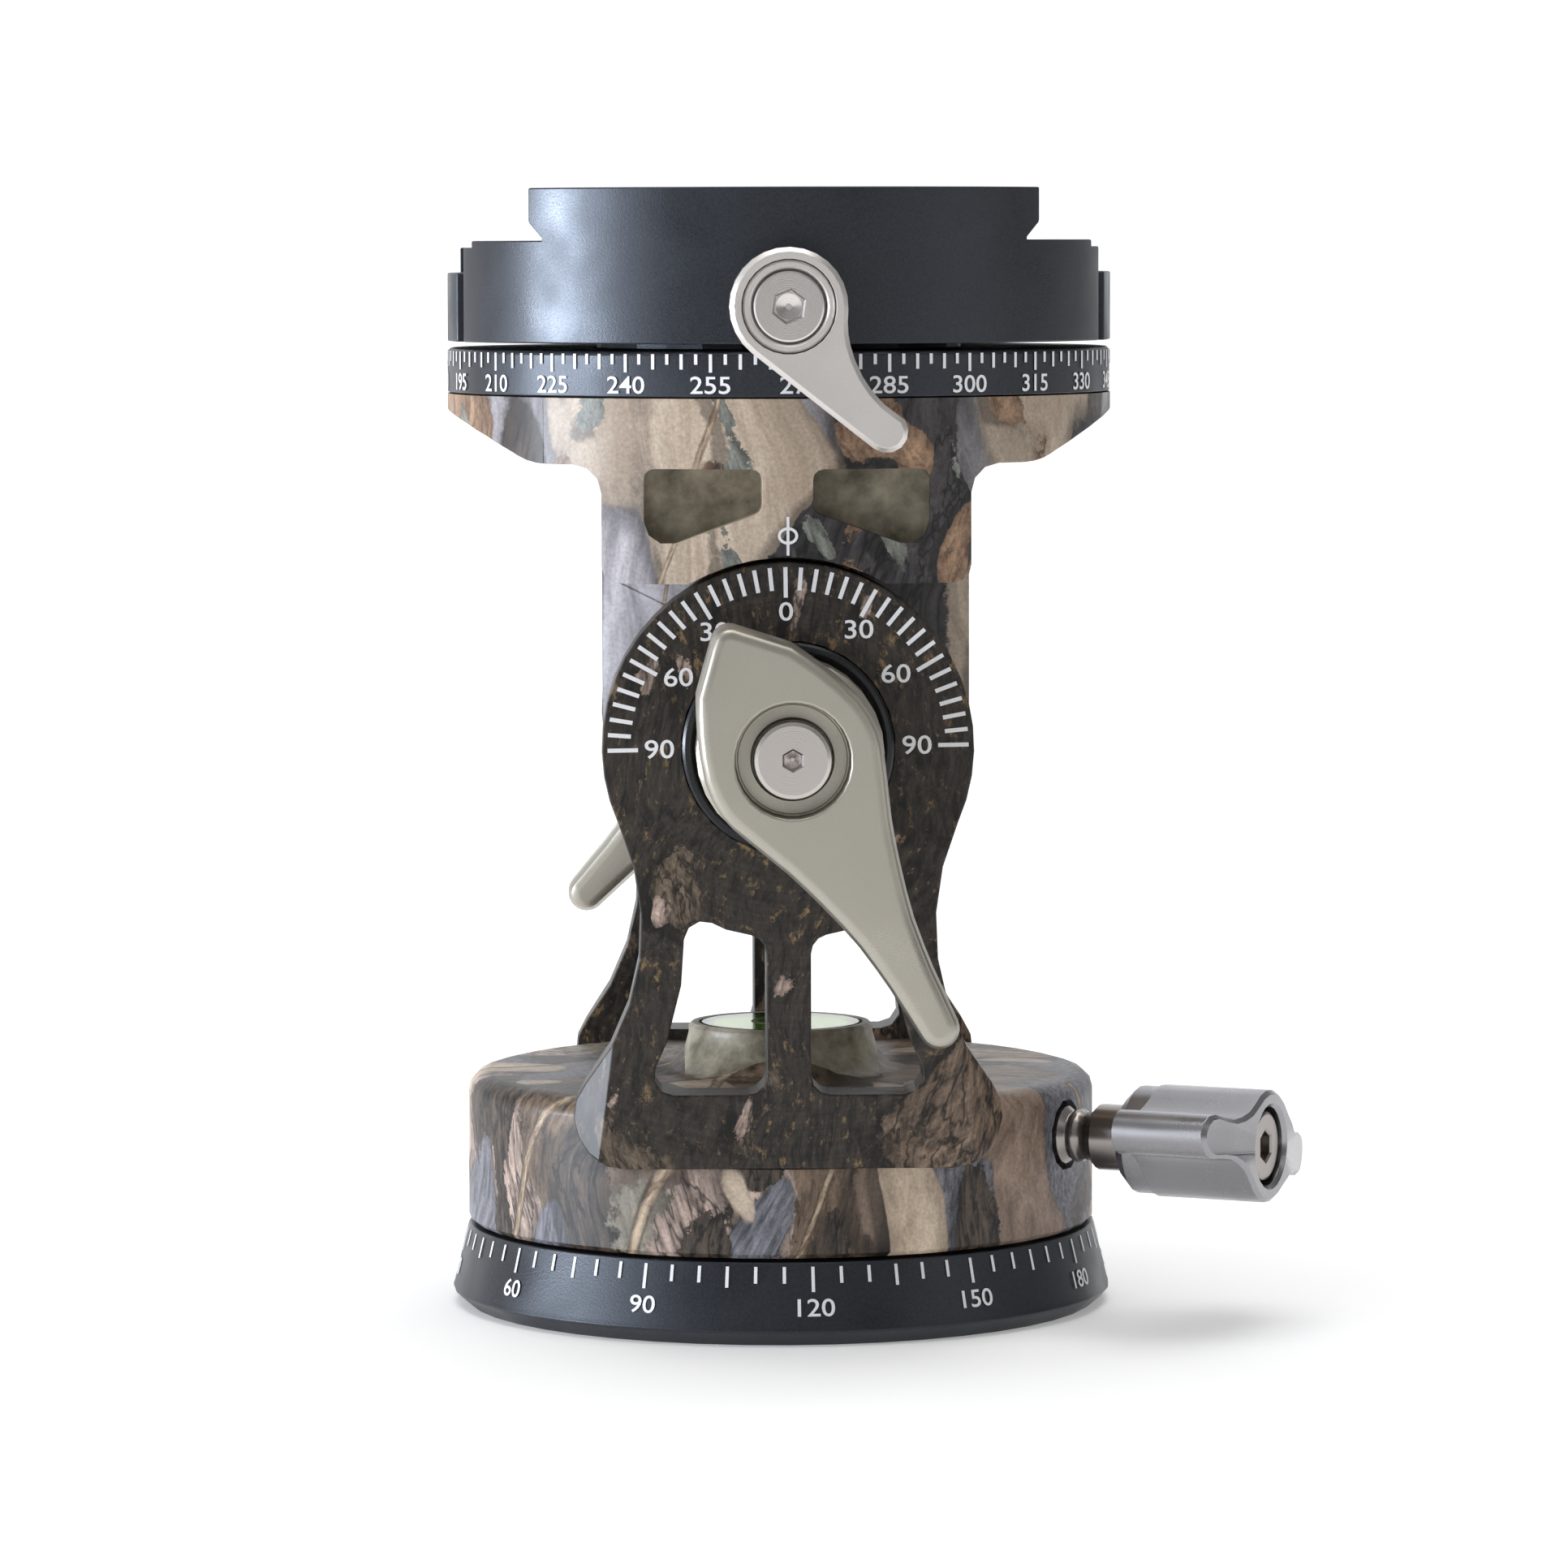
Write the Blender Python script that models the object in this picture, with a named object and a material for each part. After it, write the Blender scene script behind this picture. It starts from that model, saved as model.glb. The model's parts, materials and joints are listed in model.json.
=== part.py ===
"""Monopod tilt head: a panning base, a two-plate yoke with a tilting bracket, and a panning dovetail clamp.

Units are metres. X runs along the clamp's dovetail groove, Y runs through the tilt axle from front to rear,
Z is the pan axis. The origin is on the pan axis, on the plane that the underside of the base ring rests on.
The front is -Y. Each moving piece hangs under an empty that sits on its joint's axis.
"""

import math

import bmesh
import bpy
from mathutils import Matrix, Vector

MM = 0.001

# Mesh density
LARGE_SIDES = 44
MEDIUM_SIDES = 28
HIDDEN_SIDES = 18
SMALL_SIDES = 12
SPRING_SIDES = 4
SPRING_STEPS_PER_TURN = 6
CORNER_STEPS = 3
BLOCK_ROUND_STEPS = 19
CROWN_STEPS = 9
SMOOTH_ANGLE = math.radians(35)
BEVEL_ANGLE = math.radians(40)
FLAT_ANGLE = math.radians(0.1)

# Clearances and the one overrun that every cutter uses
SEAT_GAP = 0.1 * MM
RUNNING_GAP = 0.3 * MM
OVERRUN = 1.0 * MM

# Overall
HEAD_RADIUS = 30.0 * MM

# Base ring, the graduated lower ring
BASE_RING_HEIGHT = 7.3 * MM
BASE_RING_TOP_RADIUS = 28.5 * MM
BASE_RING_FOOT_RADIUS = 28.5 * MM
BASE_RING_CHAMFER_HEIGHT = 1.4 * MM
BASE_RING_ROUNDING = 0.5 * MM

# Thread insert for the monopod's stud, 3/8 inch
STUD_HOLE_RADIUS = 4.76 * MM
INSERT_RADIUS = 7.0 * MM
INSERT_LENGTH = 12.0 * MM
INSERT_LEAD_IN = 0.6 * MM

# Screws: thread radius, head radius, head height, hexagon across flats
SCREW_M3 = (1.5 * MM, 2.75 * MM, 1.6 * MM, 2.0 * MM)
SCREW_M2 = (1.0 * MM, 1.75 * MM, 1.2 * MM, 1.3 * MM)
SCREW_M25 = (1.25 * MM, 2.1 * MM, 1.4 * MM, 1.5 * MM)
HEX_DEPTH_SHARE = 0.6

# Base screws, from below into the spindle
BASE_SCREW_COUNT = 3
BASE_SCREW_CIRCLE = 11.2 * MM
BASE_SCREW_LENGTH = 9.5 * MM

# Pan spindle, which the yoke turns on
SPINDLE_NECK_RADIUS = 15.0 * MM
SPINDLE_FLANGE_RADIUS = 18.0 * MM
SPINDLE_FLANGE_HEIGHT = 6.1 * MM
SPINDLE_GROOVE_DEPTH = 1.2 * MM
SPINDLE_GROOVE_WIDTH = 3.0 * MM

# Retaining ring under the spindle's flange, and its screws
RETAINER_RADIUS = 22.0 * MM
RETAINER_RECESS = 0.3 * MM
RETAINER_HEIGHT = 4.2 * MM
RETAINER_SCREW_COUNT = 3
RETAINER_SCREW_CIRCLE = 19.95 * MM
RETAINER_SCREW_LENGTH = 6.4 * MM
PAN_WASHER_HEIGHT = 0.8 * MM

# Base disc of the yoke
DISC_RADIUS = 28.5 * MM
DISC_HEIGHT = 13.5 * MM
DISC_EDGE_RADIUS = 1.8 * MM
DISC_FOOT_CHAMFER = 0.4 * MM
LEVEL_BOSS_RADIUS = 8.4 * MM
LEVEL_BOSS_HEIGHT = 4.3 * MM
LEVEL_BOSS_LAND = 0.8 * MM
LEVEL_BOSS_FLARE = 3.4 * MM
LEVEL_BOSS_ROUNDING = 0.3 * MM

# Round bubble level, sunk into the boss
LEVEL_RADIUS = 7.2 * MM
LEVEL_RECESS_DEPTH = 3.6 * MM
LEVEL_BACKING_HEIGHT = 0.6 * MM
LEVEL_WALL = 0.9 * MM
LEVEL_WINDOW = 0.8 * MM

# Side plates of the yoke
AXIS_ABOVE_DISC = 31.4 * MM
PLATE_OUTER_FACE = 28.8 * MM
PLATE_THICKNESS = 5.8 * MM
DIAL_RADIUS = 16.2 * MM
WAIST_HALF_WIDTH = 12.85 * MM
WAIST_ABOVE_DISC = 15.75 * MM
FOOT_BELOW_DISC_TOP = 5.5 * MM
FOOT_RADIUS = 4.5 * MM
PLATE_EDGE_RADIUS = 0.55 * MM
FOOT_BEVEL_TOP_ABOVE_DISC = 5.6 * MM
FOOT_BEVEL_FOOT_OFFSET = 2.4 * MM
FOOT_BEVEL_ANGLE = math.radians(42)

# The two windows in each plate
WINDOW_BAR_WIDTH = 3.9 * MM
WINDOW_SILL_ABOVE_DISC = 1.0 * MM
WINDOW_HALF_WIDTH = 8.95 * MM
WINDOW_SIDE_RADIUS = 31.0 * MM
WINDOW_DIAL_MARGIN = 0.6 * MM
WINDOW_CORNER_RADIUS = 1.7 * MM

# Screws that hold the plates, from below through the disc
PLATE_SCREW_HALF_PITCH = 5.0 * MM
PLATE_SCREW_DEPTH = 1.9 * MM
PLATE_SCREW_LENGTH = 8.0 * MM
PLATE_SCREW_HEAD_RECESS = 4.2 * MM

# Tilt axle and the clamp nuts on its ends
AXLE_RADIUS = 4.0 * MM
AXLE_PROUD = 4.2 * MM
AXLE_CHAMFER = 0.5 * MM
BEZEL_RADIUS = 9.2 * MM
BEZEL_WALL = 0.8 * MM
BEZEL_SEAT_DEPTH = 2.0 * MM
BEZEL_PROUD = 0.9 * MM
NUT_RADIUS = 8.1 * MM
NUT_PROUD = 7.8 * MM
NUT_EDGE = 0.5 * MM
NUT_SPLINE_RADIUS = 3.5 * MM
NUT_SPLINE_LENGTH = 4.4 * MM
NUT_WEB = 1.4 * MM

# Tilt levers. The outline's places are shares of the reach and of the hub's half width
LEVER_PROUD = 16.2 * MM
LEVER_REACH = 27.8 * MM
LEVER_HALF_WIDTH = 7.7 * MM
LEVER_EDGE_RADIUS = 1.1 * MM
LEVER_ARM_BACK_RISE = 3.4 * MM
LEVER_BEAK_REACH = 12.7 * MM
LEVER_BEAK_RADIUS = 1.7 * MM
LEVER_BEAK_END_ANGLE = math.radians(125)
LEVER_TIP_RADIUS = 1.75 * MM
LEVER_TIP_START_ANGLE = math.radians(85)
LEVER_OUTLINE_SHARES = (
    (-0.310, 0.60),
    (-0.206, 0.79),
    (-0.070, 0.965),
    (0.050, 0.985),
    (0.150, 0.87),
    (0.300, 0.65),
    (0.440, 0.49),
    (0.600, 0.345),
    (0.760, 0.270),
)
LEVER_RECESS_RADIUS = 4.95 * MM
LEVER_RECESS_DEPTH = 2.6 * MM
LEVER_SCREW = (2.0 * MM, 3.4 * MM, 2.0 * MM, 1.5 * MM)
LEVER_SCREW_LENGTH = 5.0 * MM
FRONT_LEVER_ANGLE = math.radians(-61.6)
REAR_LEVER_ANGLE = math.radians(-47)

# Tilt bracket
BLOCK_SIDE_GAP = 1.0 * MM
NECK_HALF_WIDTH = 16.1 * MM
NECK_FOOT_ABOVE_AXIS = 14.2 * MM
NECK_CORNER_RADIUS = 1.5 * MM
DIAL_GAP = 0.4 * MM
FLANGE_UNDERSIDE_ABOVE_AXIS = 24.5 * MM
FLANGE_FILLET = 2.5 * MM
FLANGE_KNEE_RADIUS = 5.0 * MM
FLANGE_RAKE_WIDTH = 7.7 * MM
FLANGE_FILLET_SHARE = 0.45
FLANGE_KNEE_SHARE = 0.85
FLANGE_RIM_HEIGHT = 1.4 * MM
BRACKET_TOP_ABOVE_AXIS = 30.3 * MM
POCKET_DEPTH = 5.0 * MM
POCKET_INNER = 2.2 * MM
POCKET_OUTER = 12.4 * MM
POCKET_TOP_ABOVE_AXIS = 24.2 * MM
POCKET_INNER_SILL_ABOVE_AXIS = 20.5 * MM
POCKET_OUTER_SILL_ABOVE_AXIS = 16.8 * MM
POCKET_SMALL_RADIUS = 0.9 * MM
POCKET_LARGE_RADIUS = 2.0 * MM

# Bushes in the block, and friction washers beside it
BUSH_WALL = 1.7 * MM
BUSH_LENGTH = 9.0 * MM
FRICTION_WASHER_RADIUS = 14.0 * MM
FRICTION_WASHER_BORE = 6.6 * MM
FRICTION_WASHER_HEIGHT = 0.6 * MM

# Upper scale ring, which traps the pan hub on the bracket
SCALE_RING_HEIGHT = 4.0 * MM
SCALE_RING_EDGE = 0.3 * MM
SCALE_RING_LIP = 1.5 * MM
SCALE_RING_SCREW_COUNT = 3
SCALE_RING_SCREW_INSET = 5.0 * MM
SCALE_RING_SCREW_LENGTH = 4.6 * MM
SCALE_RING_WALL = 10.0 * MM
HUB_LEDGE = 3.5 * MM
HUB_RECESS_DEPTH = 1.1 * MM
UPPER_PAN_GAP = 0.6 * MM
UPPER_WASHER_HEIGHT = 0.5 * MM

# Dovetail clamp
CLAMP_SUPPORT_HEIGHT = 9.0 * MM
JAW_HEIGHT = 4.6 * MM
JAW_END_STEP = 7.6 * MM
JAW_LIP_OFFSET = 17.3 * MM
JAW_LIP_HEIGHT = 0.6 * MM
JAW_ROOT_OFFSET = 21.1 * MM
JAW_ROOT_HEIGHT = 0.2 * MM
STEP_OFFSET = 11.6 * MM
STEP_DEPTH = 0.6 * MM
CHANNEL_HALF_WIDTH = 7.5 * MM
CHANNEL_DEPTH = 2.85 * MM
JAW_OPENING = 2.1 * MM
JAW_CLOSING_TRAVEL = 1.8 * MM
CLAMP_EDGE_RADIUS = 0.4 * MM
HUB_SCREW_HALF_PITCH = 6.5 * MM
HUB_SCREW_SETBACK = 2.5 * MM
HUB_REAR_SCREW_INSET = 4.5 * MM
HUB_SCREW_LENGTH = 6.0 * MM

# Draw screw, guide pins and springs of the moving jaw
DRAW_HEIGHT = 3.3 * MM
DRAW_RADIUS = 2.2 * MM
DRAW_PROUD = 2.4 * MM
DRAW_DEPTH_IN_BODY = 12.0 * MM
PIN_RADIUS = 1.5 * MM
PIN_INSET = 13.0 * MM
PIN_DEPTH_IN_JAW = 8.0 * MM
PIN_DEPTH_IN_BODY = 12.0 * MM
SPRING_TO_PIN = 6.5 * MM
SPRING_RADIUS = 1.5 * MM
SPRING_WIRE_RADIUS = 0.25 * MM
SPRING_TURNS = 6
SPRING_DEPTH = 5.0 * MM

# Clamp lever
CLAMP_SEAT_RECESS = 0.7 * MM
CLAMP_LEVER_WASHER_RADIUS = 3.8 * MM
CLAMP_LEVER_WASHER_HEIGHT = 1.0 * MM
CLAMP_LEVER_HUB_RADIUS = 5.1 * MM
CLAMP_LEVER_HEIGHT = 5.0 * MM
CLAMP_LEVER_REACH = 15.45 * MM
CLAMP_LEVER_TIP_RADIUS = 1.85 * MM
CLAMP_LEVER_EDGE = 0.4 * MM
CLAMP_LEVER_MEET_ANGLE = math.radians(49)
CLAMP_LEVER_TIP_END_ANGLE = math.radians(84)
CLAMP_LEVER_HOLLOW_SHARES = (
    (0.835, 0.312),
    (0.750, 0.246),
    (0.654, 0.226),
    (0.560, 0.248),
    (0.456, 0.322),
    (0.381, 0.410),
    (0.325, 0.498),
    (0.271, 0.612),
)
CLAMP_INSERT_RADIUS = 4.0 * MM
CLAMP_INSERT_HEIGHT = 2.4 * MM
CLAMP_INSERT_FLOOR = 0.8 * MM
CLAMP_INSERT_CHAMFER = 0.3 * MM
CLAMP_LEVER_SCREW = (1.25 * MM, 3.1 * MM, 1.4 * MM, 2.8 * MM)
CLAMP_LEVER_SCREW_LENGTH = 5.0 * MM
CLAMP_LEVER_ANGLE = math.radians(-52)

# Pan lock, a radial screw with a winged knob. Its lengths are measured from the pan axis
PAN_LOCK_AZIMUTH = math.radians(-27)
PAN_LOCK_TURN = math.radians(-11)
PAN_LOCK_BORE = 3.2 * MM
PAD_RADIUS = 2.7 * MM
PAD_LENGTH = 3.4 * MM
PAD_TIP_RADIUS = 0.3 * MM
PAD_NOSE_RADIUS = 1.2 * MM
PAD_NOSE_LENGTH = 1.0 * MM
LOCK_SCREW_RADIUS = 2.6 * MM
LOCK_BEAD_RADIUS = 2.45 * MM
LOCK_BEAD_LENGTH = 1.5 * MM
LOCK_BEAD_OFFSET = 0.5 * MM
LOCK_GROOVE_RADIUS = 2.15 * MM
LOCK_GROOVE_LENGTH = 0.5 * MM
LOCK_SHANK_RADIUS = 2.95 * MM
LOCK_SHANK_CHAMFER = 0.8 * MM
LOCK_SPIGOT_LENGTH = 8.0 * MM
KNOB_STANDOFF = 6.2 * MM
KNOB_LENGTH = 13.4 * MM
KNOB_HUB_RADIUS = 5.0 * MM
KNOB_HUB_CHAMFER = 1.0 * MM
KNOB_COLLAR_LENGTH = 3.0 * MM
KNOB_WING_HALF_SPAN = 12.0 * MM
KNOB_WING_HALF_WIDTH = 1.95 * MM
KNOB_WING_SWEEP = 1.6 * MM
KNOB_NECK_HALF_WIDTH = 1.75 * MM
KNOB_NECK_OFFSET = 7.2 * MM
KNOB_NECK_SHARE = 0.36
KNOB_HUB_CORNER = math.radians(58)
KNOB_COLLAR_STEP = 0.2 * MM
KNOB_EDGE_CHAMFER = 0.35 * MM
KNOB_RECESS_RADIUS = 3.5 * MM
KNOB_RECESS_DEPTH = 2.4 * MM
KNOB_SCREW = (1.5 * MM, 3.1 * MM, 1.8 * MM, 2.5 * MM)
KNOB_SCREW_LENGTH = 6.0 * MM

# Levels of the stack, from the underside up
DISC_BOTTOM = BASE_RING_HEIGHT + RUNNING_GAP
DISC_TOP = DISC_BOTTOM + DISC_HEIGHT
TILT_AXIS = DISC_TOP + AXIS_ABOVE_DISC
BRACKET_TOP = TILT_AXIS + BRACKET_TOP_ABOVE_AXIS
SCALE_RING_BOTTOM = BRACKET_TOP + SEAT_GAP
SCALE_RING_TOP = SCALE_RING_BOTTOM + SCALE_RING_HEIGHT
CLAMP_BOTTOM = SCALE_RING_TOP + UPPER_PAN_GAP
SUPPORT_LEVEL = CLAMP_BOTTOM + CLAMP_SUPPORT_HEIGHT
JAW_TOP = SUPPORT_LEVEL + JAW_HEIGHT
DRAW_LEVEL = CLAMP_BOTTOM + DRAW_HEIGHT

# What follows the head's radius
HUB_FLANGE_RADIUS = HEAD_RADIUS - SCALE_RING_WALL
FLANGE_KNEE_HALF_WIDTH = HEAD_RADIUS - FLANGE_RAKE_WIDTH
HUB_RADIUS = HUB_FLANGE_RADIUS - HUB_LEDGE
SCALE_RING_SCREW_CIRCLE = HEAD_RADIUS - SCALE_RING_SCREW_INSET
HUB_SCREW_PLACES = (
    (-HUB_SCREW_HALF_PITCH, HUB_SCREW_SETBACK),
    (HUB_SCREW_HALF_PITCH, HUB_SCREW_SETBACK),
    (0, HUB_RADIUS - HUB_REAR_SCREW_INSET),
)
JAW_HALF_LENGTH = HEAD_RADIUS - JAW_END_STEP
PIN_OFFSET = HEAD_RADIUS - PIN_INSET
SPRING_OFFSET = PIN_OFFSET - SPRING_TO_PIN
CLAMP_LEVER_SEAT = HEAD_RADIUS - CLAMP_SEAT_RECESS
DRAW_OUTER_END = HEAD_RADIUS + DRAW_PROUD
CLAMP_LEVER_BACK = HEAD_RADIUS + JAW_CLOSING_TRAVEL + RUNNING_GAP

# What follows the disc's radius
KNOB_START = DISC_RADIUS + KNOB_STANDOFF
KNOB_WING_START = KNOB_START + KNOB_COLLAR_LENGTH
KNOB_END = KNOB_START + KNOB_LENGTH

# Levels inside the yoke's disc
RETAINER_BOTTOM = DISC_BOTTOM + RETAINER_RECESS
RETAINER_TOP = RETAINER_BOTTOM + RETAINER_HEIGHT
PAN_WASHER_BOTTOM = RETAINER_TOP + SEAT_GAP
FLANGE_BOTTOM = PAN_WASHER_BOTTOM + PAN_WASHER_HEIGHT + SEAT_GAP
FLANGE_TOP = FLANGE_BOTTOM + SPINDLE_FLANGE_HEIGHT
PAN_LOCK_LEVEL = FLANGE_BOTTOM + SPINDLE_FLANGE_HEIGHT / 2 + RUNNING_GAP
LEVEL_BOSS_TOP = DISC_TOP + LEVEL_BOSS_HEIGHT
LEVEL_FLOOR = LEVEL_BOSS_TOP - LEVEL_RECESS_DEPTH

# Outline of the plates: the waist's hollow touches the dial's circle and the foot's round
PLATE_INNER_FACE = PLATE_OUTER_FACE - PLATE_THICKNESS
PLATE_SCREW_OFFSET = PLATE_INNER_FACE + PLATE_SCREW_DEPTH
BLOCK_HALF_DEPTH = PLATE_INNER_FACE - BLOCK_SIDE_GAP
AXLE_HALF_LENGTH = PLATE_OUTER_FACE + AXLE_PROUD
NUT_OUTER_FACE = PLATE_OUTER_FACE + NUT_PROUD
LEVER_FRONT_FACE = PLATE_OUTER_FACE + LEVER_PROUD
PLATE_BOTTOM = DISC_TOP - FOOT_BELOW_DISC_TOP
WAIST_LEVEL = DISC_TOP + WAIST_ABOVE_DISC
WAIST_DROP = TILT_AXIS - WAIST_LEVEL
WAIST_RADIUS = (WAIST_HALF_WIDTH**2 + WAIST_DROP**2 - DIAL_RADIUS**2) / (2 * (DIAL_RADIUS - WAIST_HALF_WIDTH))
WAIST_CENTRE = WAIST_HALF_WIDTH + WAIST_RADIUS
FOOT_LEVEL = PLATE_BOTTOM + FOOT_RADIUS
FOOT_CENTRE = WAIST_CENTRE - math.sqrt((WAIST_RADIUS + FOOT_RADIUS) ** 2 - (WAIST_LEVEL - FOOT_LEVEL) ** 2)

# Steel and aluminium finishes: colour, metallic, roughness
BLACK_ANODISED = ((0.035, 0.036, 0.040), 0.6, 0.45)
CAMO_FILM = ((0.150, 0.125, 0.100), 0.1, 0.40)
CAMO_FILM_DARK = ((0.085, 0.072, 0.060), 0.1, 0.40)
SATIN_SILVER = ((0.560, 0.545, 0.510), 0.9, 0.35)
GREY_ANODISED = ((0.360, 0.355, 0.360), 0.8, 0.38)
STAINLESS = ((0.420, 0.400, 0.390), 1.0, 0.28)
BRASS = ((0.550, 0.400, 0.160), 1.0, 0.35)
BRONZE = ((0.400, 0.260, 0.130), 1.0, 0.40)
WHITE_POLYMER = ((0.750, 0.750, 0.730), 0.0, 0.45)
CLEAR_ACRYLIC = ((0.850, 0.900, 0.850), 0.0, 0.10)
LEVEL_GREEN = ((0.450, 0.850, 0.100), 0.0, 0.20)

# Directions that a piece's own +Z can be laid along
UP = Vector((0.0, 0.0, 1.0))
FRONT = Vector((0.0, -1.0, 0.0))
REAR = Vector((0.0, 1.0, 0.0))


# Outlines


def arc(centre, radius, start, end, steps):
    """Points on a circle from one angle to another, both ends included."""
    angles = [start + (end - start) * step / steps for step in range(steps + 1)]
    return [(centre[0] + radius * math.cos(a), centre[1] + radius * math.sin(a)) for a in angles]


def rounded(corners, steps=CORNER_STEPS):
    """A closed outline from (x, y, radius) corners, with an arc at each corner that has a radius."""
    outline = []
    for index, (x, y, radius) in enumerate(corners):
        if not radius:
            outline.append((x, y))
            continue
        here = Vector((x, y))
        back = (Vector(corners[index - 1][:2]) - here).normalized()
        ahead = (Vector(corners[(index + 1) % len(corners)][:2]) - here).normalized()
        half = back.angle(ahead) / 2
        centre = here + (back + ahead).normalized() * radius / math.sin(half)
        first = here + back * radius / math.tan(half) - centre
        last = here + ahead * radius / math.tan(half) - centre
        start = math.atan2(first.y, first.x)
        sweep = math.atan2(first.x * last.y - first.y * last.x, first.dot(last))
        outline += arc(centre, radius, start, start + sweep, steps)
    return outline


def smooth_curve(points, steps):
    """An open curve that passes through every point, with a few steps between each pair."""
    ends = [points[0]] + list(points) + [points[-1]]
    curve = []
    for index in range(1, len(ends) - 2):
        before, start, end, after = (Vector(p) for p in ends[index - 1 : index + 3])
        for step in range(steps):
            t = step / steps
            spot = start * 2 + (end - before) * t + (before * 2 - start * 5 + end * 4 - after) * t**2
            spot += (start * 3 - before - end * 3 + after) * t**3
            curve.append(tuple(spot / 2))
    curve.append(tuple(points[-1]))
    return curve


def inset(outline, distance):
    """An anticlockwise closed outline moved inwards by a distance."""
    moved = []
    for index, point in enumerate(outline):
        along = (Vector(outline[(index + 1) % len(outline)]) - Vector(outline[index - 1])).normalized()
        moved.append((point[0] - along.y * distance, point[1] + along.x * distance))
    return moved


def turned(points, angle):
    """An outline turned about its origin."""
    cos, sin = math.cos(angle), math.sin(angle)
    return [(x * cos - y * sin, x * sin + y * cos) for x, y in points]


# Solids


def loft(rings, closed):
    """A skin over rings of equally many points, either closed on itself or with a flat face at each end."""
    bm = bmesh.new()
    rings = [[bm.verts.new(point) for point in ring] for ring in rings]
    if closed:
        rings.append(rings[0])
    else:
        bm.faces.new(rings[0])
        bm.faces.new(rings[-1])
    for low, high in zip(rings, rings[1:]):
        for side in range(len(low)):
            after = (side + 1) % len(low)
            bm.faces.new((low[side], low[after], high[after], high[side]))
    return bm


def revolve(profile, sides=MEDIUM_SIDES, turn=0.0):
    """A turned solid about Z from (radius, z) points. They run in a closed ring, or from the axis to the axis
    with a flat face at each end. The turn is a share of one side."""
    angles = [2 * math.pi * (side + turn) / sides for side in range(sides)]
    turns = [(math.cos(angle), math.sin(angle)) for angle in angles]
    rings = [[(radius * x, radius * y, z) for x, y in turns] for radius, z in profile if radius]
    return loft(rings, closed=len(rings) == len(profile))


def prism(outline, low, high):
    """An outline in the XY plane, extruded along Z."""
    return loft([[(x, y, z) for x, y in outline] for z in (low, high)], closed=False)


def block(low, high):
    """A box between two corners."""
    outline = [(low[0], low[1]), (high[0], low[1]), (high[0], high[1]), (low[0], high[1])]
    return prism(outline, low[2], high[2])


def rod(radius, low, high, sides=SMALL_SIDES):
    """A plain round bar along Z, turned by half a side so that it crosses its neighbours' edges cleanly."""
    return revolve([(0, low), (radius, low), (radius, high), (0, high)], sides, 0.5)


def screw_hole(screw, end, seat, head_end, head_gap=RUNNING_GAP):
    """A clearance hole along Z from the shank's end, with a wider part for the head from its seat on."""
    shank = screw[0] + RUNNING_GAP
    head = screw[1] + head_gap
    profile = [(0, end), (shank, end), (shank, seat), (head, seat), (head, head_end), (0, head_end)]
    return revolve(profile, SMALL_SIDES, 0.5)


def tube(inner, outer, low, high, sides=HIDDEN_SIDES):
    """A round pipe along Z."""
    return revolve([(inner, low), (outer, low), (outer, high), (inner, high)], sides)


def coil(radius, wire, length, turns):
    """A compression spring along Z, one unbroken wire with its two ends closed."""
    steps = turns * SPRING_STEPS_PER_TURN
    spins = [2 * math.pi * side / SPRING_SIDES for side in range(SPRING_SIDES)]
    rings = []
    for step in range(steps + 1):
        angle = 2 * math.pi * step / SPRING_STEPS_PER_TURN
        z = wire + (length - 2 * wire) * step / steps
        reaches = [(radius - wire + wire * math.cos(spin), z + wire * math.sin(spin)) for spin in spins]
        across, up = math.cos(angle), math.sin(angle)
        rings.append([(reach * across, reach * up, height) for reach, height in reaches])
    return loft(rings, closed=False)


def hex_socket_screw(screw, length, sides):
    """A cap screw. Its head stands on z = 0, its shank points down and its socket is open at the top."""
    shank, head, height, across = screw
    socket = across / 2
    floor = height * (1 - HEX_DEPTH_SHARE)
    outside = [(0, -length), (shank, -length), (shank, 0), (head, 0), (head, height)]
    profile = outside + [(socket, height), (socket, floor)]
    bm = revolve(profile + [(0, floor)], sides)
    for vert in bm.verts:
        if vert.co.z > 0 and 0 < vert.co.xy.length < (socket + head) / 2:
            from_flat = math.atan2(vert.co.y, vert.co.x) % (math.pi / 3) - math.pi / 6
            vert.co.xy /= math.cos(from_flat)
    return bm


# Objects


def clear_scene():
    for old in list(bpy.data.objects):
        bpy.data.objects.remove(old, do_unlink=True)


def basis(direction, roll=0.0):
    """Lays a piece's +Z along a direction with its +X level, then rolls it about that axis."""
    side = UP.cross(direction)
    if side.length < 0.5:
        side = Vector((1.0, 0.0, 0.0))
    side.normalize()
    up = direction.cross(side)
    turn = Matrix((side, up, direction)).transposed().to_4x4()
    return turn @ Matrix.Rotation(roll, 4, "Z")


def joint_empty(name, place, direction=UP, parent=None):
    """An empty on a joint's axis, its own +Z along the axis."""
    empty = bpy.data.objects.new(name, None)
    bpy.context.collection.objects.link(empty)
    frame = Matrix.Translation(place) @ basis(direction)
    empty.parent = parent
    empty.matrix_world = frame
    bpy.context.view_layer.update()
    return empty


def shaded_mesh(name, bm, finish=None):
    bmesh.ops.recalc_face_normals(bm, faces=bm.faces)
    mesh = bpy.data.meshes.new(name)
    bm.to_mesh(mesh)
    bm.free()
    mesh.shade_smooth()
    mesh.set_sharp_from_angle(angle=SMOOTH_ANGLE)
    if finish:
        mesh.materials.append(material(name, finish))
    return mesh


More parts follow.
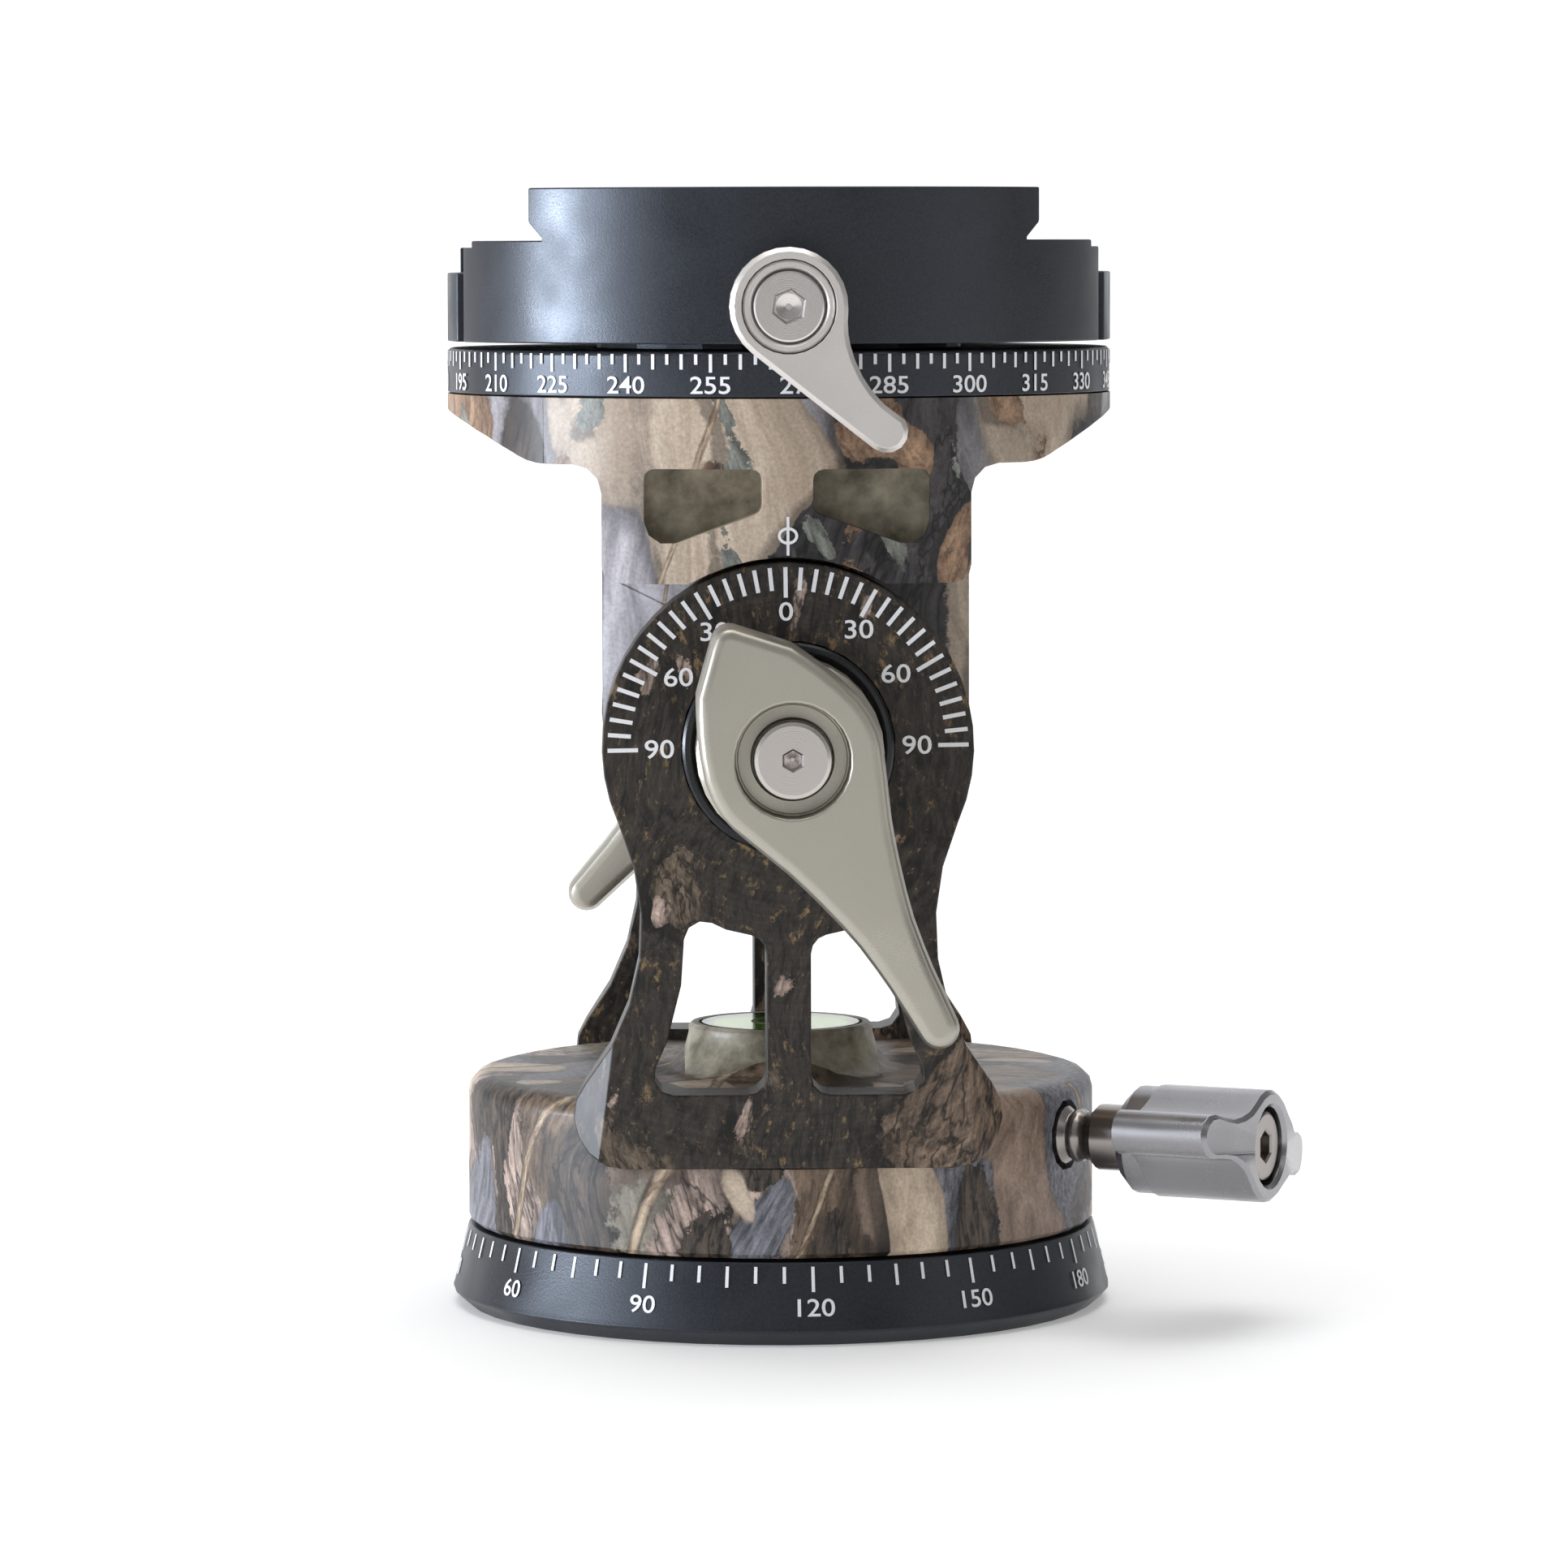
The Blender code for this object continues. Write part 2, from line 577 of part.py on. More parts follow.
def lay(name, mesh, parent, place=(0, 0, 0), direction=UP, roll=0.0):
    """A mesh as a named object at a place in the world, under its parent."""
    piece = bpy.data.objects.new(name, mesh)
    bpy.context.collection.objects.link(piece)
    piece.parent = parent
    bpy.context.view_layer.update()
    piece.matrix_world = Matrix.Translation(place) @ basis(direction, roll)
    return piece


def make(name, bm, parent, place=(0, 0, 0), direction=UP, roll=0.0, finish=None):
    return lay(name, shaded_mesh(name, bm, finish), parent, place, direction, roll)


def material(name, finish):
    colour, metallic, roughness = finish
    made = bpy.data.materials.new(name)
    made.use_nodes = True
    shader = made.node_tree.nodes["Principled BSDF"]
    shader.inputs["Base Color"].default_value = (*colour, 1.0)
    shader.inputs["Metallic"].default_value = metallic
    shader.inputs["Roughness"].default_value = roughness
    return made


def boolean(piece, bm, operation, place=(0, 0, 0), direction=UP, roll=0.0):
    """Cuts a tool out of a piece, joins it on or keeps what they share. The tool stays as a hidden object."""
    tool = make(f"{piece.name}_tool_{len(piece.modifiers)}", bm, piece.parent, place, direction, roll)
    tool.hide_render = True
    tool.display_type = "WIRE"
    step = piece.modifiers.new(tool.name, "BOOLEAN")
    step.operation = operation
    step.solver = "EXACT"
    step.object = tool
    return tool


def cut(piece, bm, place=(0, 0, 0), direction=UP, roll=0.0):
    return boolean(piece, bm, "DIFFERENCE", place, direction, roll)


def soften(piece, width, segments=2):
    """Rounds the sharp edges that a piece has at this point in its stack of modifiers."""
    bevel = piece.modifiers.new("soften", "BEVEL")
    bevel.width = width
    bevel.segments = segments
    bevel.limit_method = "ANGLE"
    bevel.angle_limit = BEVEL_ANGLE
    bevel.use_clamp_overlap = True


def join_flat_faces(piece):
    """Makes one face of the faces that lie in one plane, so that no edge between them is rounded."""
    join = piece.modifiers.new("join", "DECIMATE")
    join.decimate_type = "DISSOLVE"
    join.angle_limit = FLAT_ANGLE


def screw_row(name, screw, length, places, direction, parent):
    """Equal screws that share one mesh. Each place is where the underside of a head lies."""
    mesh = shaded_mesh(name, hex_socket_screw(screw, length, SMALL_SIDES), STAINLESS)
    for index, place in enumerate(places, 1):
        lay(f"{name}_{index}", mesh, parent, place, direction)


def circle_places(radius, count, z, first=0.0):
    angles = [first + 2 * math.pi * index / count for index in range(count)]
    return [Vector((radius * math.cos(a), radius * math.sin(a), z)) for a in angles]


def single_screw(name, screw, length, place, direction, parent):
    make(name, hex_socket_screw(screw, length, HIDDEN_SIDES), parent, place, direction, finish=STAINLESS)


# Base: what the monopod's stud screws into


def base_screw_places():
    head_seat = SCREW_M3[2] + 2 * SEAT_GAP
    return circle_places(BASE_SCREW_CIRCLE, BASE_SCREW_COUNT, head_seat, math.pi / 4)


def build_base(base):
    bore = INSERT_RADIUS + RUNNING_GAP
    rim = BASE_RING_CHAMFER_HEIGHT
    profile = [
        (bore, 0),
        (BASE_RING_FOOT_RADIUS, 0),
        (HEAD_RADIUS - BASE_RING_ROUNDING / 3, rim - BASE_RING_ROUNDING / 2),
        (HEAD_RADIUS, rim),
        (HEAD_RADIUS - BASE_RING_ROUNDING / 3, rim + BASE_RING_ROUNDING),
        (BASE_RING_TOP_RADIUS, BASE_RING_HEIGHT),
        (bore, BASE_RING_HEIGHT),
    ]
    ring = make("base_ring", revolve(profile, LARGE_SIDES), base, finish=BLACK_ANODISED)
    for place in base_screw_places():
        hole = screw_hole(SCREW_M3, BASE_RING_HEIGHT + OVERRUN, place.z + SEAT_GAP, -OVERRUN)
        cut(ring, hole, (place.x, place.y, 0))

    lead = STUD_HOLE_RADIUS + INSERT_LEAD_IN
    profile = [
        (lead, SEAT_GAP),
        (INSERT_RADIUS, SEAT_GAP),
        (INSERT_RADIUS, INSERT_LENGTH),
        (STUD_HOLE_RADIUS, INSERT_LENGTH),
        (STUD_HOLE_RADIUS, SEAT_GAP + INSERT_LEAD_IN),
    ]
    make("thread_insert", revolve(profile, HIDDEN_SIDES), base, finish=STAINLESS)

    foot = BASE_RING_HEIGHT + SEAT_GAP
    groove_half = SPINDLE_GROOVE_WIDTH / 2
    roof = INSERT_LENGTH + RUNNING_GAP
    profile = [
        (0, roof),
        (bore, roof),
        (bore, foot),
        (SPINDLE_NECK_RADIUS, foot),
        (SPINDLE_NECK_RADIUS, FLANGE_BOTTOM),
        (SPINDLE_FLANGE_RADIUS, FLANGE_BOTTOM),
        (SPINDLE_FLANGE_RADIUS, PAN_LOCK_LEVEL - groove_half),
        (SPINDLE_FLANGE_RADIUS - SPINDLE_GROOVE_DEPTH, PAN_LOCK_LEVEL),
        (SPINDLE_FLANGE_RADIUS, PAN_LOCK_LEVEL + groove_half),
        (SPINDLE_FLANGE_RADIUS, FLANGE_TOP),
        (0, FLANGE_TOP),
    ]
    spindle = make("pan_spindle", revolve(profile, MEDIUM_SIDES), base, finish=STAINLESS)
    for place in base_screw_places():
        depth = place.z + BASE_SCREW_LENGTH + RUNNING_GAP
        cut(spindle, rod(SCREW_M3[0] + RUNNING_GAP, 0, depth), (place.x, place.y, 0))
    screw_row("base_screw", SCREW_M3, BASE_SCREW_LENGTH, base_screw_places(), -UP, base)


# Yoke: the disc that pans on the spindle, with its level


def disc_profile():
    """From the roof of the spindle's cavity, round the outside, to the floor of the level's recess."""
    cavity_roof = FLANGE_TOP + RUNNING_GAP
    flange_wall = SPINDLE_FLANGE_RADIUS + RUNNING_GAP
    retainer_wall = RETAINER_RADIUS + RUNNING_GAP
    retainer_roof = RETAINER_TOP + RUNNING_GAP
    edge_centre = (DISC_RADIUS - DISC_EDGE_RADIUS, DISC_TOP - DISC_EDGE_RADIUS)
    flare_centre = (LEVEL_BOSS_RADIUS + LEVEL_BOSS_FLARE, DISC_TOP + LEVEL_BOSS_FLARE)
    profile = [
        (0, cavity_roof),
        (flange_wall, cavity_roof),
        (flange_wall, retainer_roof),
        (retainer_wall, retainer_roof),
        (retainer_wall, DISC_BOTTOM),
        (DISC_RADIUS - DISC_FOOT_CHAMFER, DISC_BOTTOM),
        (DISC_RADIUS, DISC_BOTTOM + DISC_FOOT_CHAMFER),
    ]
    profile += arc(edge_centre, DISC_EDGE_RADIUS, 0, math.pi / 2, CORNER_STEPS)
    profile += arc(flare_centre, LEVEL_BOSS_FLARE, -math.pi / 2, -math.pi, CORNER_STEPS)
    profile += [
        (LEVEL_BOSS_RADIUS, LEVEL_BOSS_TOP - LEVEL_BOSS_ROUNDING),
        (LEVEL_BOSS_RADIUS - LEVEL_BOSS_ROUNDING, LEVEL_BOSS_TOP),
        (LEVEL_RADIUS + RUNNING_GAP, LEVEL_BOSS_TOP),
        (LEVEL_RADIUS + RUNNING_GAP, LEVEL_FLOOR),
        (0, LEVEL_FLOOR),
    ]
    return profile


def retainer_screw_places():
    level = RETAINER_BOTTOM + SCREW_M2[2] + SEAT_GAP
    return circle_places(RETAINER_SCREW_CIRCLE, RETAINER_SCREW_COUNT, level)


def plate_screw_places():
    z = DISC_BOTTOM + PLATE_SCREW_HEAD_RECESS
    places = [(x, y) for y in (-PLATE_SCREW_OFFSET, PLATE_SCREW_OFFSET) for x in (-1, 1)]
    return [Vector((x * PLATE_SCREW_HALF_PITCH, y, z)) for x, y in places]


def pan_lock_axis():
    return Vector((math.cos(PAN_LOCK_AZIMUTH), math.sin(PAN_LOCK_AZIMUTH), 0.0))


def build_disc(yoke):
    disc = make("base_disc", revolve(disc_profile(), LARGE_SIDES), yoke, finish=CAMO_FILM)
    slot_wall = PLATE_INNER_FACE - SEAT_GAP
    slot_half = FOOT_CENTRE + FOOT_RADIUS + RUNNING_GAP
    for side in (-1, 1):
        near, far = sorted((side * slot_wall, side * (DISC_RADIUS + OVERRUN)))
        low = (-slot_half, near, PLATE_BOTTOM - SEAT_GAP)
        cut(disc, block(low, (slot_half, far, DISC_TOP + OVERRUN)))
    for place in retainer_screw_places():
        top = place.z + RETAINER_SCREW_LENGTH + RUNNING_GAP
        cut(disc, rod(SCREW_M2[0] + RUNNING_GAP, RETAINER_TOP, top), (place.x, place.y, 0))
    for place in plate_screw_places():
        hole = screw_hole(SCREW_M25, PLATE_BOTTOM + OVERRUN, place.z + SEAT_GAP, DISC_BOTTOM - OVERRUN)
        cut(disc, hole, (place.x, place.y, 0))
    start = SPINDLE_FLANGE_RADIUS - SPINDLE_GROOVE_DEPTH
    cut(disc, rod(PAN_LOCK_BORE, start, DISC_RADIUS + OVERRUN), (0, 0, PAN_LOCK_LEVEL), pan_lock_axis())

    bore = SPINDLE_NECK_RADIUS + RUNNING_GAP
    ring = tube(bore, RETAINER_RADIUS, RETAINER_BOTTOM, RETAINER_TOP, MEDIUM_SIDES)
    retainer = make("retaining_ring", ring, yoke, finish=GREY_ANODISED)
    for place in retainer_screw_places():
        top, bottom = RETAINER_TOP + OVERRUN, RETAINER_BOTTOM - OVERRUN
        hole = screw_hole(SCREW_M2, top, place.z + SEAT_GAP, bottom, SEAT_GAP)
        cut(retainer, hole, (place.x, place.y, 0))
    screw_row("retaining_screw", SCREW_M2, RETAINER_SCREW_LENGTH, retainer_screw_places(), -UP, yoke)
    washer = tube(
        SPINDLE_NECK_RADIUS + RUNNING_GAP,
        SPINDLE_FLANGE_RADIUS,
        PAN_WASHER_BOTTOM,
        PAN_WASHER_BOTTOM + PAN_WASHER_HEIGHT,
        MEDIUM_SIDES,
    )
    make("pan_washer", washer, yoke, finish=WHITE_POLYMER)


def build_level(yoke):
    backing_bottom = LEVEL_FLOOR + SEAT_GAP
    backing_top = backing_bottom + LEVEL_BACKING_HEIGHT
    vial_bottom = backing_top + SEAT_GAP
    backing = rod(LEVEL_RADIUS, backing_bottom, backing_top, MEDIUM_SIDES)
    make("level_backing", backing, yoke, finish=WHITE_POLYMER)
    inner = LEVEL_RADIUS - LEVEL_WALL
    ceiling = LEVEL_BOSS_TOP - LEVEL_WINDOW
    profile = [
        (0, ceiling),
        (inner, ceiling),
        (inner, vial_bottom),
        (LEVEL_RADIUS, vial_bottom),
        (LEVEL_RADIUS, LEVEL_BOSS_TOP),
        (0, LEVEL_BOSS_TOP),
    ]
    make("level_vial", revolve(profile), yoke, finish=CLEAR_ACRYLIC)
    liquid = rod(inner - SEAT_GAP, vial_bottom, ceiling - SEAT_GAP, MEDIUM_SIDES)
    make("level_liquid", liquid, yoke, finish=LEVEL_GREEN)


# Yoke: the side plates, with the tilt axle between them


def plate_outline():
    """The dial's circle, a hollow waist and a rounded foot, all touching, about the plate's mirror line."""
    waist = (WAIST_CENTRE, WAIST_LEVEL - TILT_AXIS)
    foot = (FOOT_CENTRE, FOOT_LEVEL - TILT_AXIS)
    dial_end = math.atan2(waist[1], waist[0])
    foot_start = math.atan2(waist[1] - foot[1], waist[0] - foot[0])
    half = arc(foot, FOOT_RADIUS, -math.pi / 2, foot_start, 2 * CORNER_STEPS)
    half += arc(waist, WAIST_RADIUS, math.pi + foot_start, math.pi + dial_end, 2 * CORNER_STEPS)[1:-1]
    half += arc((0, 0), DIAL_RADIUS, dial_end, math.pi / 2, 5 * CORNER_STEPS)[:-1]
    return half + [(0, DIAL_RADIUS)] + [(-x, z) for x, z in reversed(half)]


def window_outline(side):
    """One window, with its inner edge along the centre bar and its top edge round the dial."""
    inner = WINDOW_BAR_WIDTH / 2
    sill = DISC_TOP + WINDOW_SILL_ABOVE_DISC - TILT_AXIS
    waist = WAIST_LEVEL - TILT_AXIS
    rim = DIAL_RADIUS + WINDOW_DIAL_MARGIN
    centre = (WINDOW_HALF_WIDTH + WINDOW_SIDE_RADIUS, waist)
    sill_angle = math.pi + math.asin((waist - sill) / WINDOW_SIDE_RADIUS)
    radius = WINDOW_CORNER_RADIUS
    corners = [(inner, sill, radius)]
    flank = arc(centre, WINDOW_SIDE_RADIUS, sill_angle, math.pi, 3)
    corners.append((*flank[0], radius))
    corners += [(x, z, 0) for x, z in flank[1:-1]]
    corners.append((WINDOW_HALF_WIDTH, -math.sqrt(rim**2 - WINDOW_HALF_WIDTH**2), radius))
    middle = (WINDOW_HALF_WIDTH + inner) / 2
    corners.append((middle, -math.sqrt(rim**2 - middle**2), 0))
    corners.append((inner, -math.sqrt(rim**2 - inner**2), radius))
    return [(side * x, z) for x, z in rounded(corners)]


def foot_bevel(side):
    """A wedge whose slanting face takes the crescent off the outer edge of a foot. Its ridge lies along
    the chord between the crescent's two ends."""
    waist_x = WAIST_CENTRE - math.sqrt(WAIST_RADIUS**2 - (WAIST_ABOVE_DISC - FOOT_BEVEL_TOP_ABOVE_DISC) ** 2)
    top = Vector((waist_x, DISC_TOP + FOOT_BEVEL_TOP_ABOVE_DISC - TILT_AXIS))
    low = Vector((FOOT_CENTRE + FOOT_BEVEL_FOOT_OFFSET, PLATE_BOTTOM - TILT_AXIS))
    along = (low - top).normalized()
    outward = Vector((-along.y, along.x))
    reach = 2 * FOOT_RADIUS
    slope = math.tan(FOOT_BEVEL_ANGLE)
    triangle = [(-OVERRUN, OVERRUN * slope), (reach, OVERRUN * slope), (reach, -reach * slope)]
    rings = []
    for spot in (top - along * reach, low + along * reach):
        spread = [(spot + outward * across, PLATE_OUTER_FACE + rise) for across, rise in triangle]
        rings.append([(side * point.x, point.y, height) for point, height in spread])
    return loft(rings, closed=False)


def build_plate(yoke, name, direction):
    """A plate in its own frame: x across, y up from the tilt axis, z outwards."""
    centre = (0, 0, TILT_AXIS)
    blank = prism(plate_outline(), PLATE_INNER_FACE, PLATE_OUTER_FACE)
    plate = make(name, blank, yoke, centre, direction, finish=CAMO_FILM_DARK)
    for side in (-1, 1):
        window = prism(window_outline(side), PLATE_INNER_FACE - OVERRUN, PLATE_OUTER_FACE + OVERRUN)
        cut(plate, window, centre, direction)
    for side in (-1, 1):
        cut(plate, foot_bevel(side), centre, direction)
    soften(plate, PLATE_EDGE_RADIUS, 1)
    bezel_floor = PLATE_OUTER_FACE - BEZEL_SEAT_DEPTH
    cut(plate, rod(AXLE_RADIUS + RUNNING_GAP, 0, PLATE_OUTER_FACE + OVERRUN, MEDIUM_SIDES), centre, direction)
    bezel_seat = rod(BEZEL_RADIUS + SEAT_GAP, bezel_floor, PLATE_OUTER_FACE + OVERRUN, MEDIUM_SIDES)
    cut(plate, bezel_seat, centre, direction)
    shank = SCREW_M25[0] + RUNNING_GAP
    for place in plate_screw_places():
        if place.y * direction.y > 0:
            top = place.z + PLATE_SCREW_LENGTH + RUNNING_GAP
            cut(plate, rod(shank, DISC_BOTTOM, top), (place.x, place.y, 0))
    return plate


def build_plates(yoke):
    build_plate(yoke, "front_plate", FRONT)
    build_plate(yoke, "rear_plate", REAR)
    screw_row("plate_screw", SCREW_M25, PLATE_SCREW_LENGTH, plate_screw_places(), -UP, yoke)
    centre = (0, 0, TILT_AXIS)
    half = AXLE_HALF_LENGTH
    end = AXLE_RADIUS - AXLE_CHAMFER
    profile = [
        (0, -half),
        (end, -half),
        (AXLE_RADIUS, AXLE_CHAMFER - half),
        (AXLE_RADIUS, half - AXLE_CHAMFER),
        (end, half),
        (0, half),
    ]
    make("tilt_axle", revolve(profile), yoke, centre, REAR, finish=STAINLESS)
    seat = PLATE_OUTER_FACE - BEZEL_SEAT_DEPTH + SEAT_GAP
    for name, direction in (("front_bezel_ring", FRONT), ("rear_bezel_ring", REAR)):
        ring = tube(BEZEL_RADIUS - BEZEL_WALL, BEZEL_RADIUS, seat, PLATE_OUTER_FACE + BEZEL_PROUD)
        make(name, ring, yoke, centre, direction, finish=BLACK_ANODISED)


# Tilt levers, each with the nut that it drives


def lever_outline():
    """A round beak behind the hub and a long tapering arm with a round tip, the arm along +x."""
    flank = [(along * LEVER_REACH, across * LEVER_HALF_WIDTH) for along, across in LEVER_OUTLINE_SHARES]
    beak_centre = (LEVER_BEAK_RADIUS - LEVER_BEAK_REACH, 0)
    tip_centre = (LEVER_REACH - LEVER_TIP_RADIUS, 0)
    beak = arc(beak_centre, LEVER_BEAK_RADIUS, math.pi, LEVER_BEAK_END_ANGLE, CORNER_STEPS)
    tip = arc(tip_centre, LEVER_TIP_RADIUS, LEVER_TIP_START_ANGLE, 0, 2 * CORNER_STEPS)
    upper = beak + smooth_curve(flank, 2) + tip
    return upper + [(x, -y) for x, y in reversed(upper[1:-1])]


def build_tilt_lever(parent, side_name, direction, angle):
    centre = (0, 0, TILT_AXIS)
    nut_bottom = PLATE_OUTER_FACE - BEZEL_SEAT_DEPTH + RUNNING_GAP
    thread = AXLE_RADIUS + RUNNING_GAP
    web_bottom = AXLE_HALF_LENGTH + RUNNING_GAP
    spline_end = NUT_OUTER_FACE + NUT_SPLINE_LENGTH
    hole = LEVER_SCREW[0] + RUNNING_GAP
    web_top = web_bottom + NUT_WEB
    profile = [
        (0, web_top),
        (0, web_bottom),
        (thread, web_bottom),
        (thread, nut_bottom),
        (NUT_RADIUS, nut_bottom),
        (NUT_RADIUS, NUT_OUTER_FACE - NUT_EDGE),
        (NUT_RADIUS - NUT_EDGE, NUT_OUTER_FACE),
        (NUT_SPLINE_RADIUS, NUT_OUTER_FACE),
        (NUT_SPLINE_RADIUS, spline_end),
        (hole, spline_end),
        (hole, web_top),
    ]
    nut = revolve(profile[1:] + profile[:1])
    make(f"{side_name}_clamp_nut", nut, parent, centre, direction, finish=SATIN_SILVER)

    back = NUT_OUTER_FACE + RUNNING_GAP
    lever = make(
        f"{side_name}_tilt_lever",
        prism(turned(lever_outline(), angle), back, LEVER_FRONT_FACE),
        parent,
        centre,
        direction,
        finish=SATIN_SILVER,
    )
    wedge_start = LEVER_HALF_WIDTH
    wedge = [
        (wedge_start, back - OVERRUN),
        (LEVER_REACH + OVERRUN, back - OVERRUN),
        (LEVER_REACH + OVERRUN, back + LEVER_ARM_BACK_RISE),
        (wedge_start, back),
    ]
    relief = prism(wedge, -LEVER_HALF_WIDTH - OVERRUN, LEVER_HALF_WIDTH + OVERRUN)
    relief.transform(Matrix.Rotation(angle, 4, "Z") @ Matrix.Rotation(math.pi / 2, 4, "X"))
    cut(lever, relief, centre, direction)
    soften(lever, LEVER_EDGE_RADIUS)
    shoulder = LEVER_FRONT_FACE - LEVER_RECESS_DEPTH
    spline_bore = rod(NUT_SPLINE_RADIUS + RUNNING_GAP, back - OVERRUN, LEVER_FRONT_FACE + OVERRUN)
    cut(lever, spline_bore, centre, direction)
    recess = rod(LEVER_RECESS_RADIUS, shoulder, LEVER_FRONT_FACE + OVERRUN, MEDIUM_SIDES)
    cut(lever, recess, centre, direction)
    head_seat = Vector(centre) + direction * (shoulder + SEAT_GAP)
    single_screw(f"{side_name}_lever_screw", LEVER_SCREW, LEVER_SCREW_LENGTH, head_seat, direction, parent)


# Tilting head: the bracket, its bushes and the upper scale ring


def bracket_outline():
    """The bracket from the front: a round block, a straight neck and a flange with a raked underside."""
    flange = FLANGE_UNDERSIDE_ABOVE_AXIS
    rake_top = BRACKET_TOP_ABOVE_AXIS - FLANGE_RIM_HEIGHT
    outside = HEAD_RADIUS + OVERRUN
    rake = (rake_top - flange) / FLANGE_RAKE_WIDTH
    ledge = FLANGE_KNEE_HALF_WIDTH - NECK_HALF_WIDTH
    fillet = min(FLANGE_FILLET, ledge * FLANGE_FILLET_SHARE)
    knee = min(FLANGE_KNEE_RADIUS, ledge * FLANGE_KNEE_SHARE)
    corners = [
        (outside, BRACKET_TOP_ABOVE_AXIS, 0),
        (-outside, BRACKET_TOP_ABOVE_AXIS, 0),
        (-outside, rake_top + rake * OVERRUN, 0),
        (-FLANGE_KNEE_HALF_WIDTH, flange, knee),
        (-NECK_HALF_WIDTH, flange, fillet),
        (-NECK_HALF_WIDTH, 0, 0),
    ]
    bottom = arc((0, 0), NECK_HALF_WIDTH, math.pi, 2 * math.pi, BLOCK_ROUND_STEPS)[1:-1]
    corners += [(x, z, 0) for x, z in bottom]
    corners += [
        (NECK_HALF_WIDTH, 0, 0),
        (NECK_HALF_WIDTH, flange, fillet),
        (FLANGE_KNEE_HALF_WIDTH, flange, knee),
        (outside, rake_top + rake * OVERRUN, 0),
    ]
    return rounded(corners)


def plate_clearance_outline():
    """What the plates need free of the bracket: the dial's circle, and all below the foot of the neck."""
    radius = DIAL_RADIUS + DIAL_GAP
    foot = NECK_FOOT_ABOVE_AXIS
    circle_x = math.sqrt(radius**2 - foot**2)
    start = math.atan2(foot, circle_x)
    outside = NECK_HALF_WIDTH + OVERRUN
    corner = NECK_HALF_WIDTH - NECK_CORNER_RADIUS
    shoulder = arc((corner, foot + NECK_CORNER_RADIUS), NECK_CORNER_RADIUS, 0, -math.pi / 2, CORNER_STEPS)
    half = [(outside, foot + NECK_CORNER_RADIUS)] + shoulder
    crown = arc((0, 0), radius, start, math.pi - start, CROWN_STEPS)
    floor = -NECK_HALF_WIDTH - OVERRUN
    outline = [(-outside, floor), (outside, floor)] + half + crown
    return outline + [(-x, z) for x, z in reversed(half)]


def pocket_outline(side):
    corners = [
        (POCKET_INNER, POCKET_TOP_ABOVE_AXIS, POCKET_SMALL_RADIUS),
        (POCKET_OUTER, POCKET_TOP_ABOVE_AXIS, POCKET_SMALL_RADIUS),
        (POCKET_OUTER, POCKET_OUTER_SILL_ABOVE_AXIS, POCKET_LARGE_RADIUS),
        (POCKET_INNER, POCKET_INNER_SILL_ABOVE_AXIS, POCKET_SMALL_RADIUS),
    ]
    return [(side * x, z) for x, z in rounded(corners)]


def build_bracket(head):
    centre = (0, 0, TILT_AXIS)
    outside = HEAD_RADIUS + OVERRUN
    blank = prism(bracket_outline(), -outside, outside)
    bracket = make("tilt_bracket", blank, head, centre, FRONT, finish=CAMO_FILM)
    barrel = rod(HEAD_RADIUS, 0, JAW_TOP, LARGE_SIDES)
    boolean(bracket, barrel, "INTERSECT")
    for direction in (FRONT, REAR):
        relief = prism(plate_clearance_outline(), BLOCK_HALF_DEPTH, outside)
        cut(bracket, relief, centre, direction)
        for side in (-1, 1):
            pocket = prism(pocket_outline(side), HEAD_RADIUS - POCKET_DEPTH, outside)
            cut(bracket, pocket, centre, direction)
    bore = AXLE_RADIUS + RUNNING_GAP + BUSH_WALL + SEAT_GAP
    cut(bracket, rod(bore, -outside, outside, MEDIUM_SIDES), centre, REAR)
    floor = BRACKET_TOP - HUB_RECESS_DEPTH
    cut(bracket, rod(HUB_FLANGE_RADIUS + RUNNING_GAP, floor, BRACKET_TOP + OVERRUN, LARGE_SIDES))
    shank = SCREW_M2[0] + RUNNING_GAP
    for place in scale_ring_screw_places():
        low = place.z - SCALE_RING_SCREW_LENGTH - RUNNING_GAP
        cut(bracket, rod(shank, low, BRACKET_TOP + OVERRUN), (place.x, place.y, 0))

    for name, direction in (("front_bush", FRONT), ("rear_bush", REAR)):
        inner = AXLE_RADIUS + RUNNING_GAP
        start = BLOCK_HALF_DEPTH - BUSH_LENGTH
        bush = tube(inner, inner + BUSH_WALL, start, BLOCK_HALF_DEPTH)
        make(name, bush, head, centre, direction, finish=BRONZE)
    gap = (PLATE_INNER_FACE - BLOCK_HALF_DEPTH - FRICTION_WASHER_HEIGHT) / 2
    for name, direction in (("front_friction_washer", FRONT), ("rear_friction_washer", REAR)):
        low = BLOCK_HALF_DEPTH + gap
        washer = tube(FRICTION_WASHER_BORE, FRICTION_WASHER_RADIUS, low, low + FRICTION_WASHER_HEIGHT)
        make(name, washer, head, centre, direction, finish=WHITE_POLYMER)


def scale_ring_screw_places():
    z = SCALE_RING_TOP - SCREW_M2[2] - SEAT_GAP
    return circle_places(SCALE_RING_SCREW_CIRCLE, SCALE_RING_SCREW_COUNT, z, math.pi / 2)


